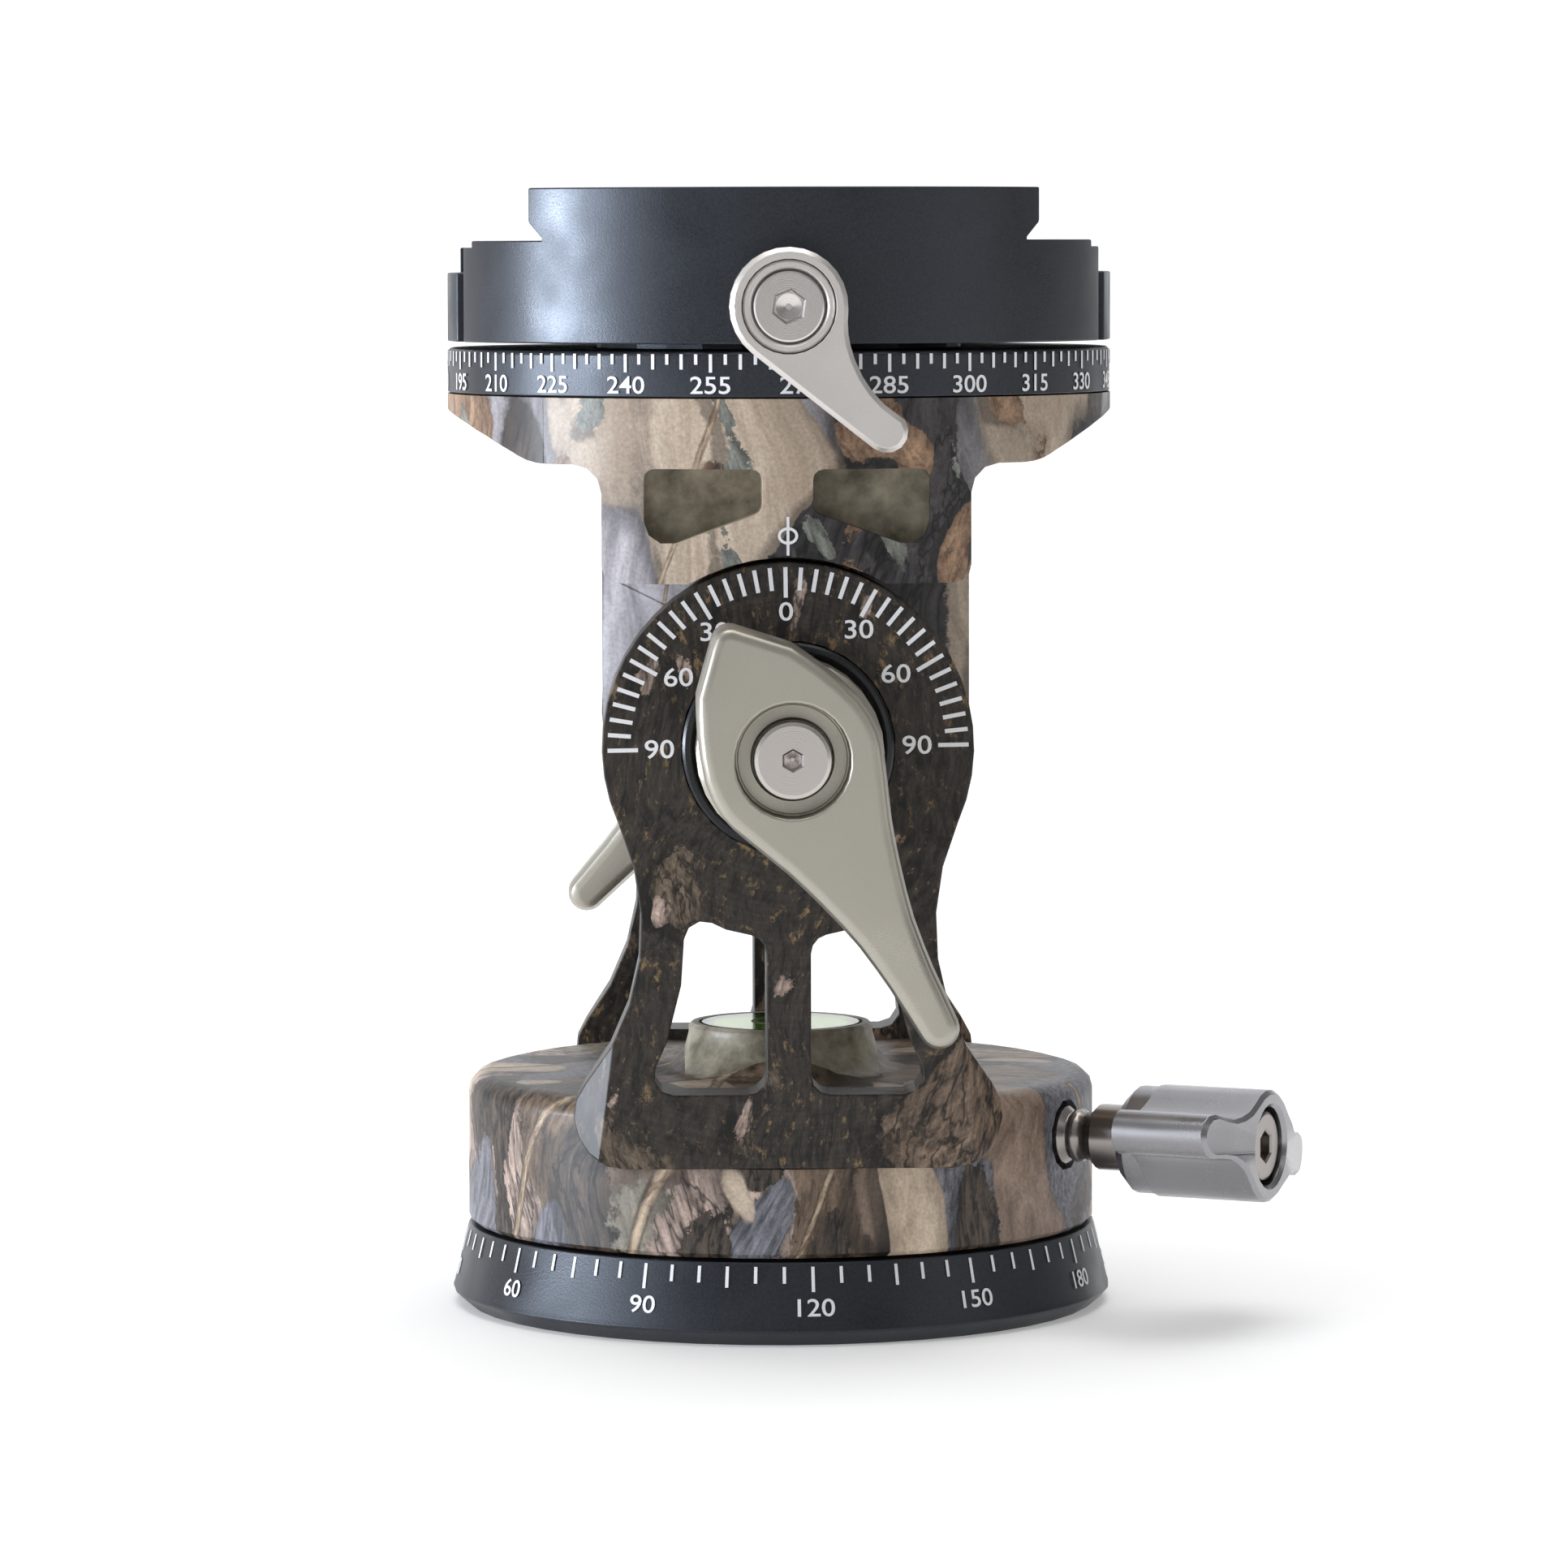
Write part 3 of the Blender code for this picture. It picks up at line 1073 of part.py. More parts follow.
def build_scale_ring(head):
    flange_bore = HUB_FLANGE_RADIUS + RUNNING_GAP
    hub_bore = HUB_RADIUS + RUNNING_GAP
    lip_bottom = SCALE_RING_TOP - SCALE_RING_LIP
    profile = [
        (flange_bore, SCALE_RING_BOTTOM),
        (HEAD_RADIUS, SCALE_RING_BOTTOM),
        (HEAD_RADIUS, SCALE_RING_TOP - SCALE_RING_EDGE),
        (HEAD_RADIUS - SCALE_RING_EDGE, SCALE_RING_TOP),
        (hub_bore, SCALE_RING_TOP),
        (hub_bore, lip_bottom),
        (flange_bore, lip_bottom),
    ]
    ring = make("upper_scale_ring", revolve(profile, LARGE_SIDES), head, finish=BLACK_ANODISED)
    for place in scale_ring_screw_places():
        hole = screw_hole(SCREW_M2, SCALE_RING_BOTTOM - OVERRUN, place.z - SEAT_GAP, SCALE_RING_TOP + OVERRUN)
        cut(ring, hole, (place.x, place.y, 0))
    places = scale_ring_screw_places()
    screw_row("scale_ring_screw", SCREW_M2, SCALE_RING_SCREW_LENGTH, places, UP, head)
    low = BRACKET_TOP - HUB_RECESS_DEPTH + SEAT_GAP
    washer = tube(HUB_RADIUS / 2, HUB_FLANGE_RADIUS, low, low + UPPER_WASHER_HEIGHT, MEDIUM_SIDES)
    make("upper_pan_washer", washer, head, finish=WHITE_POLYMER)


# Clamp: what the camera's plate slides into


def clamp_half_profile(side, front_edge):
    """The body's or the jaw's section across the groove, as (y, z) with the groove's bottom on +y."""
    outside = HEAD_RADIUS + OVERRUN
    root = SUPPORT_LEVEL + JAW_ROOT_HEIGHT
    lip = JAW_TOP - JAW_LIP_HEIGHT
    profile = [
        (outside, CLAMP_BOTTOM),
        (outside, JAW_TOP),
        (JAW_LIP_OFFSET, JAW_TOP),
        (JAW_LIP_OFFSET, lip),
        (JAW_ROOT_OFFSET, root),
        (JAW_ROOT_OFFSET, SUPPORT_LEVEL),
        (STEP_OFFSET, SUPPORT_LEVEL),
        (STEP_OFFSET, SUPPORT_LEVEL - STEP_DEPTH),
    ]
    profile += front_edge
    return [(side * y, z) for y, z in profile]


def clamp_section(name, outline, parent):
    """A length of the clamp's section, cut to the head's round outline and to the ends of the jaws."""
    bm = prism(outline, -HEAD_RADIUS - OVERRUN, HEAD_RADIUS + OVERRUN)
    bm.transform(Matrix(((0, 0, 1, 0), (1, 0, 0, 0), (0, 1, 0, 0), (0, 0, 0, 1))))
    piece = make(name, bm, parent, finish=BLACK_ANODISED)
    boolean(piece, rod(HEAD_RADIUS, CLAMP_BOTTOM - OVERRUN, JAW_TOP + OVERRUN, LARGE_SIDES), "INTERSECT")
    outside = HEAD_RADIUS + OVERRUN
    for side in (-1, 1):
        near, far = sorted((side * JAW_HALF_LENGTH, side * outside))
        for flank in (-1, 1):
            low_y, high_y = sorted((flank * STEP_OFFSET, flank * outside))
            ends = block((near, low_y, SUPPORT_LEVEL), (far, high_y, JAW_TOP + OVERRUN))
            cut(piece, ends)
    join_flat_faces(piece)
    soften(piece, CLAMP_EDGE_RADIUS, 1)
    return piece


def build_clamp(clamp, jaw):
    channel = SUPPORT_LEVEL - CHANNEL_DEPTH
    body_edge = [
        (CHANNEL_HALF_WIDTH, SUPPORT_LEVEL - STEP_DEPTH),
        (CHANNEL_HALF_WIDTH, channel),
        (-CHANNEL_HALF_WIDTH, channel),
        (-CHANNEL_HALF_WIDTH, CLAMP_BOTTOM),
    ]
    jaw_face = CHANNEL_HALF_WIDTH + JAW_OPENING
    jaw_edge = [(jaw_face, SUPPORT_LEVEL - STEP_DEPTH), (jaw_face, CLAMP_BOTTOM)]
    body = clamp_section("clamp_body", clamp_half_profile(1, body_edge), clamp)
    front = clamp_section("clamp_jaw", clamp_half_profile(-1, jaw_edge), jaw)

    level = DRAW_LEVEL
    outside = -HEAD_RADIUS - OVERRUN
    draw_bore = rod(DRAW_RADIUS + RUNNING_GAP, outside, DRAW_DEPTH_IN_BODY - CHANNEL_HALF_WIDTH)
    cut(body, draw_bore, (0, 0, level), REAR)
    draw_bore = rod(DRAW_RADIUS + RUNNING_GAP, outside, 0)
    cut(front, draw_bore, (0, 0, level), REAR)
    spot_radius = CLAMP_LEVER_WASHER_RADIUS + RUNNING_GAP
    spot_face = rod(spot_radius, CLAMP_LEVER_SEAT, HEAD_RADIUS + OVERRUN, MEDIUM_SIDES)
    cut(front, spot_face, (0, 0, level), FRONT)
    pin_start = -jaw_face - PIN_DEPTH_IN_JAW
    pin_end = PIN_DEPTH_IN_BODY - CHANNEL_HALF_WIDTH
    spring_start = -jaw_face - SPRING_DEPTH
    spring_end = SPRING_DEPTH - CHANNEL_HALF_WIDTH
    for side in (-1, 1):
        place = (side * PIN_OFFSET, 0, level)
        cut(front, rod(PIN_RADIUS + RUNNING_GAP, pin_start - JAW_OPENING, 0), place, REAR)
        cut(body, rod(PIN_RADIUS + RUNNING_GAP, -HEAD_RADIUS, pin_end + RUNNING_GAP), place, REAR)
        place = (side * SPRING_OFFSET, 0, level)
        cut(front, rod(SPRING_RADIUS + RUNNING_GAP, spring_start - JAW_OPENING, 0), place, REAR)
        cut(body, rod(SPRING_RADIUS + RUNNING_GAP, -HEAD_RADIUS, spring_end + RUNNING_GAP), place, REAR)
    shank = SCREW_M2[0] + RUNNING_GAP
    depth = CLAMP_BOTTOM + HUB_SCREW_LENGTH - SCREW_M2[2]
    for x, y in HUB_SCREW_PLACES:
        cut(body, rod(shank, CLAMP_BOTTOM - OVERRUN, depth), (x, y, 0))

    for name, side in (("left_guide_pin", -1), ("right_guide_pin", 1)):
        place = (side * PIN_OFFSET, 0, level)
        make(name, rod(PIN_RADIUS, pin_start, pin_end), clamp, place, REAR, finish=STAINLESS)
    for name, side in (("left_jaw_spring", -1), ("right_jaw_spring", 1)):
        place = (side * SPRING_OFFSET, spring_start, level)
        spring = coil(SPRING_RADIUS, SPRING_WIRE_RADIUS, spring_end - spring_start, SPRING_TURNS)
        make(name, spring, clamp, place, REAR, finish=STAINLESS)


def build_pan_hub(clamp):
    low = BRACKET_TOP - HUB_RECESS_DEPTH + 2 * SEAT_GAP + UPPER_WASHER_HEIGHT
    flange_top = SCALE_RING_TOP - SCALE_RING_LIP - SEAT_GAP
    top = CLAMP_BOTTOM - SEAT_GAP
    profile = [
        (0, low),
        (HUB_FLANGE_RADIUS, low),
        (HUB_FLANGE_RADIUS, flange_top),
        (HUB_RADIUS, flange_top),
        (HUB_RADIUS, top),
        (0, top),
    ]
    hub = make("pan_hub", revolve(profile, MEDIUM_SIDES), clamp, finish=BLACK_ANODISED)
    places = [Vector((x, y, low + SCREW_M2[2] + SEAT_GAP)) for x, y in HUB_SCREW_PLACES]
    for place in places:
        hole = screw_hole(SCREW_M2, top + OVERRUN, place.z + SEAT_GAP, low - OVERRUN)
        cut(hub, hole, (place.x, place.y, 0))
    length = CLAMP_BOTTOM + HUB_SCREW_LENGTH - SCREW_M2[2] - RUNNING_GAP - places[0].z
    screw_row("hub_screw", SCREW_M2, length, places, -UP, clamp)


# Clamp lever, on the moving jaw


def clamp_lever_outline():
    """The hub's circle with a straight and a hollow flank that run to a round tip, the arm along +x."""
    hub, reach, tip = CLAMP_LEVER_HUB_RADIUS, CLAMP_LEVER_REACH, CLAMP_LEVER_TIP_RADIUS
    tip_centre = (reach - tip, 0)
    slope = math.asin((hub - tip) / tip_centre[0])
    hollow = [(along * reach, across * hub) for along, across in CLAMP_LEVER_HOLLOW_SHARES]
    outline = arc((0, 0), hub, CLAMP_LEVER_MEET_ANGLE, 3 * math.pi / 2 + slope, 6 * CORNER_STEPS)
    outline += arc(tip_centre, tip, slope - math.pi / 2, CLAMP_LEVER_TIP_END_ANGLE, 2 * CORNER_STEPS)
    return outline + hollow


def build_clamp_lever(parent):
    centre = Vector((0, 0, DRAW_LEVEL))
    washer_top = CLAMP_LEVER_SEAT + SEAT_GAP + CLAMP_LEVER_WASHER_HEIGHT
    back = washer_top + SEAT_GAP
    face = back + CLAMP_LEVER_HEIGHT
    bore = DRAW_RADIUS + RUNNING_GAP
    washer = tube(bore, CLAMP_LEVER_WASHER_RADIUS, CLAMP_LEVER_SEAT + SEAT_GAP, washer_top)
    make("clamp_lever_washer", washer, parent, centre, FRONT, finish=STAINLESS)
    outline = turned(clamp_lever_outline(), CLAMP_LEVER_ANGLE)
    blank = prism(outline, CLAMP_LEVER_BACK, face)
    lever = make("clamp_lever", blank, parent, centre, FRONT, finish=SATIN_SILVER)
    soften(lever, CLAMP_LEVER_EDGE, 1)
    boss = rod(CLAMP_LEVER_WASHER_RADIUS, back, CLAMP_LEVER_BACK + OVERRUN, HIDDEN_SIDES)
    boolean(lever, boss, "UNION", centre, FRONT)
    cut(lever, rod(DRAW_RADIUS + RUNNING_GAP, back - OVERRUN, face), centre, FRONT)
    insert_floor = face - CLAMP_INSERT_HEIGHT - SEAT_GAP
    seat = rod(CLAMP_INSERT_RADIUS + SEAT_GAP, insert_floor, face + OVERRUN, MEDIUM_SIDES)
    cut(lever, seat, centre, FRONT)

    shank, head, height, _ = CLAMP_LEVER_SCREW
    low = insert_floor + SEAT_GAP
    shelf = low + CLAMP_INSERT_FLOOR
    rim = face - SEAT_GAP
    profile = [
        (shank + RUNNING_GAP, low),
        (CLAMP_INSERT_RADIUS, low),
        (CLAMP_INSERT_RADIUS, rim - CLAMP_INSERT_CHAMFER),
        (CLAMP_INSERT_RADIUS - CLAMP_INSERT_CHAMFER, rim),
        (head + SEAT_GAP * 2, rim),
        (head + SEAT_GAP * 2, shelf),
        (shank + RUNNING_GAP, shelf),
    ]
    make("clamp_lever_insert", revolve(profile, HIDDEN_SIDES), parent, centre, FRONT, finish=SATIN_SILVER)
    place = centre + FRONT * (shelf + SEAT_GAP)
    single_screw("clamp_lever_screw", CLAMP_LEVER_SCREW, CLAMP_LEVER_SCREW_LENGTH, place, FRONT, parent)

    inner_end = CHANNEL_HALF_WIDTH - DRAW_DEPTH_IN_BODY + JAW_OPENING
    bottom = shelf - CLAMP_LEVER_SCREW_LENGTH
    hole = shank + RUNNING_GAP
    profile = [
        (0, inner_end),
        (DRAW_RADIUS, inner_end),
        (DRAW_RADIUS, DRAW_OUTER_END),
        (hole, DRAW_OUTER_END),
        (hole, bottom),
        (0, bottom),
    ]
    make("draw_screw", revolve(profile, SMALL_SIDES), parent, centre, FRONT, finish=STAINLESS)


# Pan lock: a pad, a radial screw and a winged knob


def knob_outline():
    """The knob from its end: a round hub, two hollow necks and two round-ended wings along x."""
    span, wing, neck = KNOB_WING_HALF_SPAN, KNOB_WING_HALF_WIDTH, KNOB_NECK_HALF_WIDTH
    hub_point = arc((0, 0), KNOB_HUB_RADIUS, KNOB_HUB_CORNER, KNOB_HUB_CORNER, 1)[0]
    middle = ((KNOB_NECK_OFFSET + hub_point[0]) / 2, neck + (hub_point[1] - neck) * KNOB_NECK_SHARE)
    tip = arc((span - wing, 0), wing, 0, math.pi / 2, CORNER_STEPS)
    flank = smooth_curve([tip[-1], (KNOB_NECK_OFFSET, neck), middle, hub_point], 2)
    crown = arc((0, 0), KNOB_HUB_RADIUS, KNOB_HUB_CORNER, math.pi / 2, CORNER_STEPS - 1)
    upper_right = tip + flank[1:] + crown[1:]
    upper = upper_right + [(-x, y) for x, y in reversed(upper_right[:-1])]
    return upper + [(x, -y) for x, y in reversed(upper[1:-1])]


def knob_skin():
    """The knob as one skin: from the bore's inner end, round the collar and the wings, into the recess."""
    outline = knob_outline()
    collar = KNOB_HUB_RADIUS - KNOB_COLLAR_STEP
    sweep = KNOB_WING_SWEEP / (KNOB_WING_HALF_SPAN - KNOB_HUB_RADIUS)

    def ring(radius, z):
        return [(*(Vector(point).normalized() * radius), z) for point in outline]

    bore = LOCK_GROOVE_RADIUS + RUNNING_GAP
    recess = KNOB_END - KNOB_RECESS_DEPTH
    edge = KNOB_EDGE_CHAMFER
    small_outline = inset(outline, edge)

    def end(points, drop):
        return [(x, y, KNOB_END - drop - sweep * max(0, abs(x) - KNOB_HUB_RADIUS)) for x, y in points]

    rings = [
        ring(bore, KNOB_START),
        ring(collar - KNOB_HUB_CHAMFER, KNOB_START),
        ring(collar, KNOB_START + KNOB_HUB_CHAMFER),
        ring(collar, KNOB_WING_START),
        [(x, y, KNOB_WING_START) for x, y in outline],
        end(outline, edge),
        end(small_outline, 0),
        ring(KNOB_RECESS_RADIUS + edge, KNOB_END),
        ring(KNOB_RECESS_RADIUS, KNOB_END - edge),
        ring(KNOB_RECESS_RADIUS, recess),
        ring(bore, recess),
    ]
    return loft(rings, closed=True)


def build_pan_lock(pad_frame, knob_frame):
    axis = pan_lock_axis()
    level = Vector((0, 0, PAN_LOCK_LEVEL))
    start = SPINDLE_FLANGE_RADIUS - SPINDLE_GROOVE_DEPTH + 2 * RUNNING_GAP
    profile = [
        (0, start),
        (PAD_TIP_RADIUS, start),
        (PAD_NOSE_RADIUS, start + PAD_NOSE_LENGTH),
        (PAD_RADIUS, start + PAD_NOSE_LENGTH),
        (PAD_RADIUS, start + PAD_LENGTH),
        (0, start + PAD_LENGTH),
    ]
    make("pan_lock_pad", revolve(profile, SMALL_SIDES), pad_frame, level, axis, finish=BRASS)

    thread_start = start + PAD_LENGTH + SEAT_GAP
    thread_end = DISC_RADIUS
    bead = thread_end + LOCK_BEAD_OFFSET
    groove = bead + LOCK_BEAD_LENGTH
    shank = groove + LOCK_GROOVE_LENGTH
    spigot = KNOB_START + LOCK_SPIGOT_LENGTH
    hole = KNOB_SCREW[0] + RUNNING_GAP
    bottom = KNOB_END - KNOB_RECESS_DEPTH - KNOB_SCREW_LENGTH
    bead_centre = (LOCK_BEAD_RADIUS - LOCK_BEAD_LENGTH / 2, bead + LOCK_BEAD_LENGTH / 2)
    profile = [(0, thread_start), (LOCK_SCREW_RADIUS, thread_start), (LOCK_SCREW_RADIUS, thread_end)]
    profile += [(LOCK_GROOVE_RADIUS, bead)]
    profile += arc(bead_centre, LOCK_BEAD_LENGTH / 2, -math.pi / 3, math.pi / 3, CORNER_STEPS)
    profile += [
        (LOCK_GROOVE_RADIUS, groove),
        (LOCK_GROOVE_RADIUS, shank),
        (LOCK_SHANK_RADIUS, shank + LOCK_SHANK_CHAMFER),
        (LOCK_SHANK_RADIUS, KNOB_START - SEAT_GAP),
        (LOCK_GROOVE_RADIUS, KNOB_START - SEAT_GAP),
        (LOCK_GROOVE_RADIUS, spigot),
        (hole, spigot),
        (hole, bottom),
        (0, bottom),
    ]
    make("pan_lock_screw", revolve(profile, HIDDEN_SIDES), knob_frame, level, axis, finish=STAINLESS)

    make("pan_lock_knob", knob_skin(), knob_frame, level, axis, PAN_LOCK_TURN, GREY_ANODISED)
    place = level + axis * (KNOB_END - KNOB_RECESS_DEPTH + SEAT_GAP)
    single_screw("pan_lock_knob_screw", KNOB_SCREW, KNOB_SCREW_LENGTH, place, axis, knob_frame)


def main():
    clear_scene()
    centre = Vector((0, 0, TILT_AXIS))
    base = joint_empty("base", (0, 0, 0))
    yoke = joint_empty("yoke", (0, 0, 0), parent=base)
    head = joint_empty("tilt_head", centre, REAR, yoke)
    clamp = joint_empty("clamp", (0, 0, CLAMP_BOTTOM), parent=head)
    jaw = joint_empty("jaw", (0, 0, DRAW_LEVEL), FRONT, clamp)
    clamp_lever = joint_empty("clamp_lever_axis", (0, 0, DRAW_LEVEL), FRONT, jaw)
    pad = joint_empty("pan_pad", (0, 0, PAN_LOCK_LEVEL), pan_lock_axis(), yoke)
    knob = joint_empty("pan_knob_axis", (0, 0, PAN_LOCK_LEVEL), pan_lock_axis(), pad)
    front_lever = joint_empty("front_lever_axis", centre, FRONT, yoke)
    rear_lever = joint_empty("rear_lever_axis", centre, REAR, yoke)

    build_base(base)
    build_disc(yoke)
    build_level(yoke)
    build_plates(yoke)
    build_tilt_lever(front_lever, "front", FRONT, FRONT_LEVER_ANGLE)
    build_tilt_lever(rear_lever, "rear", REAR, REAR_LEVER_ANGLE)
    build_bracket(head)
    build_scale_ring(head)
    build_clamp(clamp, jaw)
    build_pan_hub(clamp)
    build_clamp_lever(clamp_lever)
    build_pan_lock(pad, knob)


main()
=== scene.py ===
import json
import math

import bmesh
import bpy
from mathutils import Matrix, Vector

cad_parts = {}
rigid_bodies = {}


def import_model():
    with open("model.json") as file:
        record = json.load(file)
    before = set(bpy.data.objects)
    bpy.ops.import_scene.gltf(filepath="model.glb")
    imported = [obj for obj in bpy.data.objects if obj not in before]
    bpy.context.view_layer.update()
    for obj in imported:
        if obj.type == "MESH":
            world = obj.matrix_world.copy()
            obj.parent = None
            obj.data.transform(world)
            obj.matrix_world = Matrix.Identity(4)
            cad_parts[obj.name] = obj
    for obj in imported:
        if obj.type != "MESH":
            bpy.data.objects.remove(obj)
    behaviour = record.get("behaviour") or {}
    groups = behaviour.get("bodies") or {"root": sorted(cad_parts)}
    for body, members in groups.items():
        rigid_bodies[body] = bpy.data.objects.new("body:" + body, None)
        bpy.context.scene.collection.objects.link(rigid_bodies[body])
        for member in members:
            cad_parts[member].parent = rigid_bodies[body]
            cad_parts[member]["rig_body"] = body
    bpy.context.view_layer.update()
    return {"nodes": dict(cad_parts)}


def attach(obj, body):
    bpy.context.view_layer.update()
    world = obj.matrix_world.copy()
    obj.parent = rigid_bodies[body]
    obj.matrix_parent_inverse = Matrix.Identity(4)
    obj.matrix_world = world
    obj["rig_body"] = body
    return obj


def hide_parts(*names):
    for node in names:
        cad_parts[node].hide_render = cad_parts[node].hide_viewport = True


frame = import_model()

MM = 0.001

# Camera: where it stands, what it looks at, and its lens, found from the object's outline in the photograph
CAMERA_PLACE = Vector((-0.0159, -0.6320, 0.0960))
CAMERA_TARGET = Vector((0.00037, 0.0, 0.0471))
CAMERA_ROLL = math.radians(-0.15)
CAMERA_LENS = 159.8
CAMERA_CLIP = (0.01, 20.0)
SENSOR_WIDTH = 36.0

# Lamps: place, width and height in metres, power in watts, and colour
LAMPS = {
    "key_light": ((-1.08, -0.19, 0.06), 0.5, 0.12, 11.5, (0.82, 0.89, 1.0)),
    "side_light": ((-0.89, -0.65, 0.20), 0.3, 0.8, 1.5, (0.85, 0.90, 1.0)),
    "fill_light": ((0.9, -0.5, 0.35), 0.6, 0.8, 0.8, (1.0, 1.0, 1.0)),
    "top_light": ((0.0, 0.1, 1.1), 0.9, 0.9, 5.5, (1.0, 1.0, 1.0)),
}
LAMP_TARGET = Vector((0.0, 0.0, 0.05))

# Surroundings: stops of brightness along each axis, from 0 at its negative end to 1 at its positive end
SKY_STOPS = {"Y": [(0.03, 0.28), (0.30, 0.60)], "X": [(0.60, 1.0), (0.90, 0.25)]}

# Floor and backdrop, in metres
FLOOR_REACH = 4.0
BACKDROP_REACH = 0.8
BACKDROP_PLACE = 1.2
BACKDROP_RADIUS = 0.6
BACKDROP_TOP = 3.0
BACKDROP_STEPS = 16

# Levels and radii of the model that pieces and markings lie on
TILT_AXIS = 52.5 * MM
PAN_LOCK_LEVEL = 16.45 * MM
CLAMP_LEVER_LEVEL = 90.8 * MM
HEAD_RADIUS = 30.0 * MM
UPPER_RING_TOP = 86.9 * MM
BASE_RING_TOP = 7.3 * MM
BASE_RING_TOP_RADIUS = 28.5 * MM
BASE_RING_FOOT = 1.4 * MM
DIAL_FACE = 28.8 * MM
LEVEL_FACE = 25.4 * MM

# Directions, and the lines that round parts are turned about: a centre and a direction
UP = (0, 0, 1)
FRONT = (0, -1, 0)
REAR = (0, 1, 0)
SIDES = {"front": FRONT, "rear": REAR}
PAN_LOCK_TURN = math.radians(-27)
PAN_LOCK_DIRECTION = (math.cos(PAN_LOCK_TURN), math.sin(PAN_LOCK_TURN), 0.0)
TILT_CENTRE = (0, 0, TILT_AXIS)
PAN_LOCK_CENTRE = (0, 0, PAN_LOCK_LEVEL)
CLAMP_LEVER_CENTRE = (0, 0, CLAMP_LEVER_LEVEL)
PAN_LINE = ((0, 0, 0), UP)
TILT_LINE = (TILT_CENTRE, REAR)
PAN_LOCK_LINE = (PAN_LOCK_CENTRE, PAN_LOCK_DIRECTION)
CLAMP_LEVER_LINE = (CLAMP_LEVER_CENTRE, REAR)

# Metals: how far their gloss wanders, the scale of their broad tone, and the rings that tools leave
GLOSS_SPREAD = 0.06
BROAD_SCALE = 0.12
BROAD_MIDDLE = 0.5
LATHE_PITCH = 0.10 * MM
LATHE_GLOSS = (-0.03, 0.05)
LATHE_DARK_SHARE = 0.92
LATHE_RELIEF = 0.04
CUTTER_PITCH = 0.42 * MM
RELIEF_DEPTH = 0.1 * MM

# Camouflage film, in millimetres: the bend, frayed edges and cracks of its patches, and its flecks and twigs
BEND_SCALE = 0.05
BEND_REACH = 12.0
FRINGE_SCALE = 0.75
SHADOW_SHIFT = (-1.2, 1.0)
PATCH_STOPS = [(0.0, 0.0), (0.006, 1.0)]
SHADOW_STOPS = [(-0.030, 1.0), (0.01, 0.42)]
RIM_STOPS = [(0.0, 0.55), (0.012, 0.80), (0.11, 1.15)]
CRACK_SIZE_SHARES = (2.6, 1.8)
CRACK_STOPS = [(0.0, 0.10), (0.014, 0.40), (0.045, 1.0)]
FLECK_SIZE_SHARES = (1.4, 0.6)
FLECK_STOPS = (0.57, 0.68)
TWIG_SIZE = (30.0, 190.0)
TWIG_GRAIN = (0.6, 3.0)
FILM_GRAIN_SCALE = 3.2
FILM_RELIEF_SCALE = 1.4
FILM_RELIEF = 0.05
POCKET_CLOUD_SCALE = 0.28
POCKET_TONES = ((0.120, 0.103, 0.068), (0.400, 0.360, 0.270))


# Materials


def new_material(name):
    made = bpy.data.materials.new(name)
    made.use_nodes = True
    tree = made.node_tree
    return made, tree, tree.nodes["Principled BSDF"]


def add(tree, kind, inputs=None, **settings):
    """A node with its settings. An input takes a number, a colour or another node's output."""
    made = tree.nodes.new(kind)
    for key, value in settings.items():
        setattr(made, key, value)
    for key, value in (inputs or {}).items():
        if isinstance(value, bpy.types.NodeSocket):
            tree.links.new(value, made.inputs[key])
        else:
            made.inputs[key].default_value = value
    return made


def feed(tree, shader, **inputs):
    """Sets or links the shader's inputs. An underscore stands for a space."""
    for key, value in inputs.items():
        socket = shader.inputs[key.replace("_", " ")]
        if isinstance(value, bpy.types.NodeSocket):
            tree.links.new(value, socket)
        else:
            socket.default_value = value


def object_place(tree):
    return add(tree, "ShaderNodeTexCoord").outputs["Object"]


def millimetres(tree):
    """Object coordinates in millimetres."""
    inputs = {"Vector": object_place(tree), "Scale": (1 / MM, 1 / MM, 1 / MM)}
    return add(tree, "ShaderNodeMapping", inputs).outputs["Vector"]


def calculated(tree, operation, first, second=0.0):
    return add(tree, "ShaderNodeMath", {0: first, 1: second}, operation=operation).outputs[0]


def vector_calculated(tree, operation, first, second, output=0):
    return add(tree, "ShaderNodeVectorMath", {0: first, 1: second}, operation=operation).outputs[output]


def vector_scaled(tree, vector, factor):
    return add(tree, "ShaderNodeVectorMath", {0: vector, "Scale": factor}, operation="SCALE").outputs[0]


def distance_from_middle(tree, value):
    """How far a number is from a half, either way."""
    return calculated(tree, "ABSOLUTE", calculated(tree, "SUBTRACT", value, 0.5))


def spread(tree, value, low, high):
    """A number from 0 to 1, spread between two limits."""
    return add(tree, "ShaderNodeMapRange", {"Value": value, "To Min": low, "To Max": high}).outputs[0]


def noise(tree, vector, scale, detail=2.0, roughness=0.5, distortion=0.0):
    inputs = {"Vector": vector, "Scale": scale, "Detail": detail, "Roughness": roughness}
    return add(tree, "ShaderNodeTexNoise", {**inputs, "Distortion": distortion})


def ramp(tree, factor, stops):
    """A colour ramp from (position, colour) stops. A colour can be one grey level."""
    made = add(tree, "ShaderNodeValToRGB", {"Fac": factor})
    band = made.color_ramp
    while len(band.elements) < len(stops):
        band.elements.new(0.5)
    for element, (position, colour) in zip(band.elements, stops):
        if not isinstance(colour, tuple):
            colour = (colour, colour, colour)
        element.position = position
        element.color = (*colour, 1.0)
    return made.outputs["Color"]


def two_tones(tree, factor, dark, light, low=0.3, high=0.7):
    return ramp(tree, factor, [(low, dark), (high, light)])


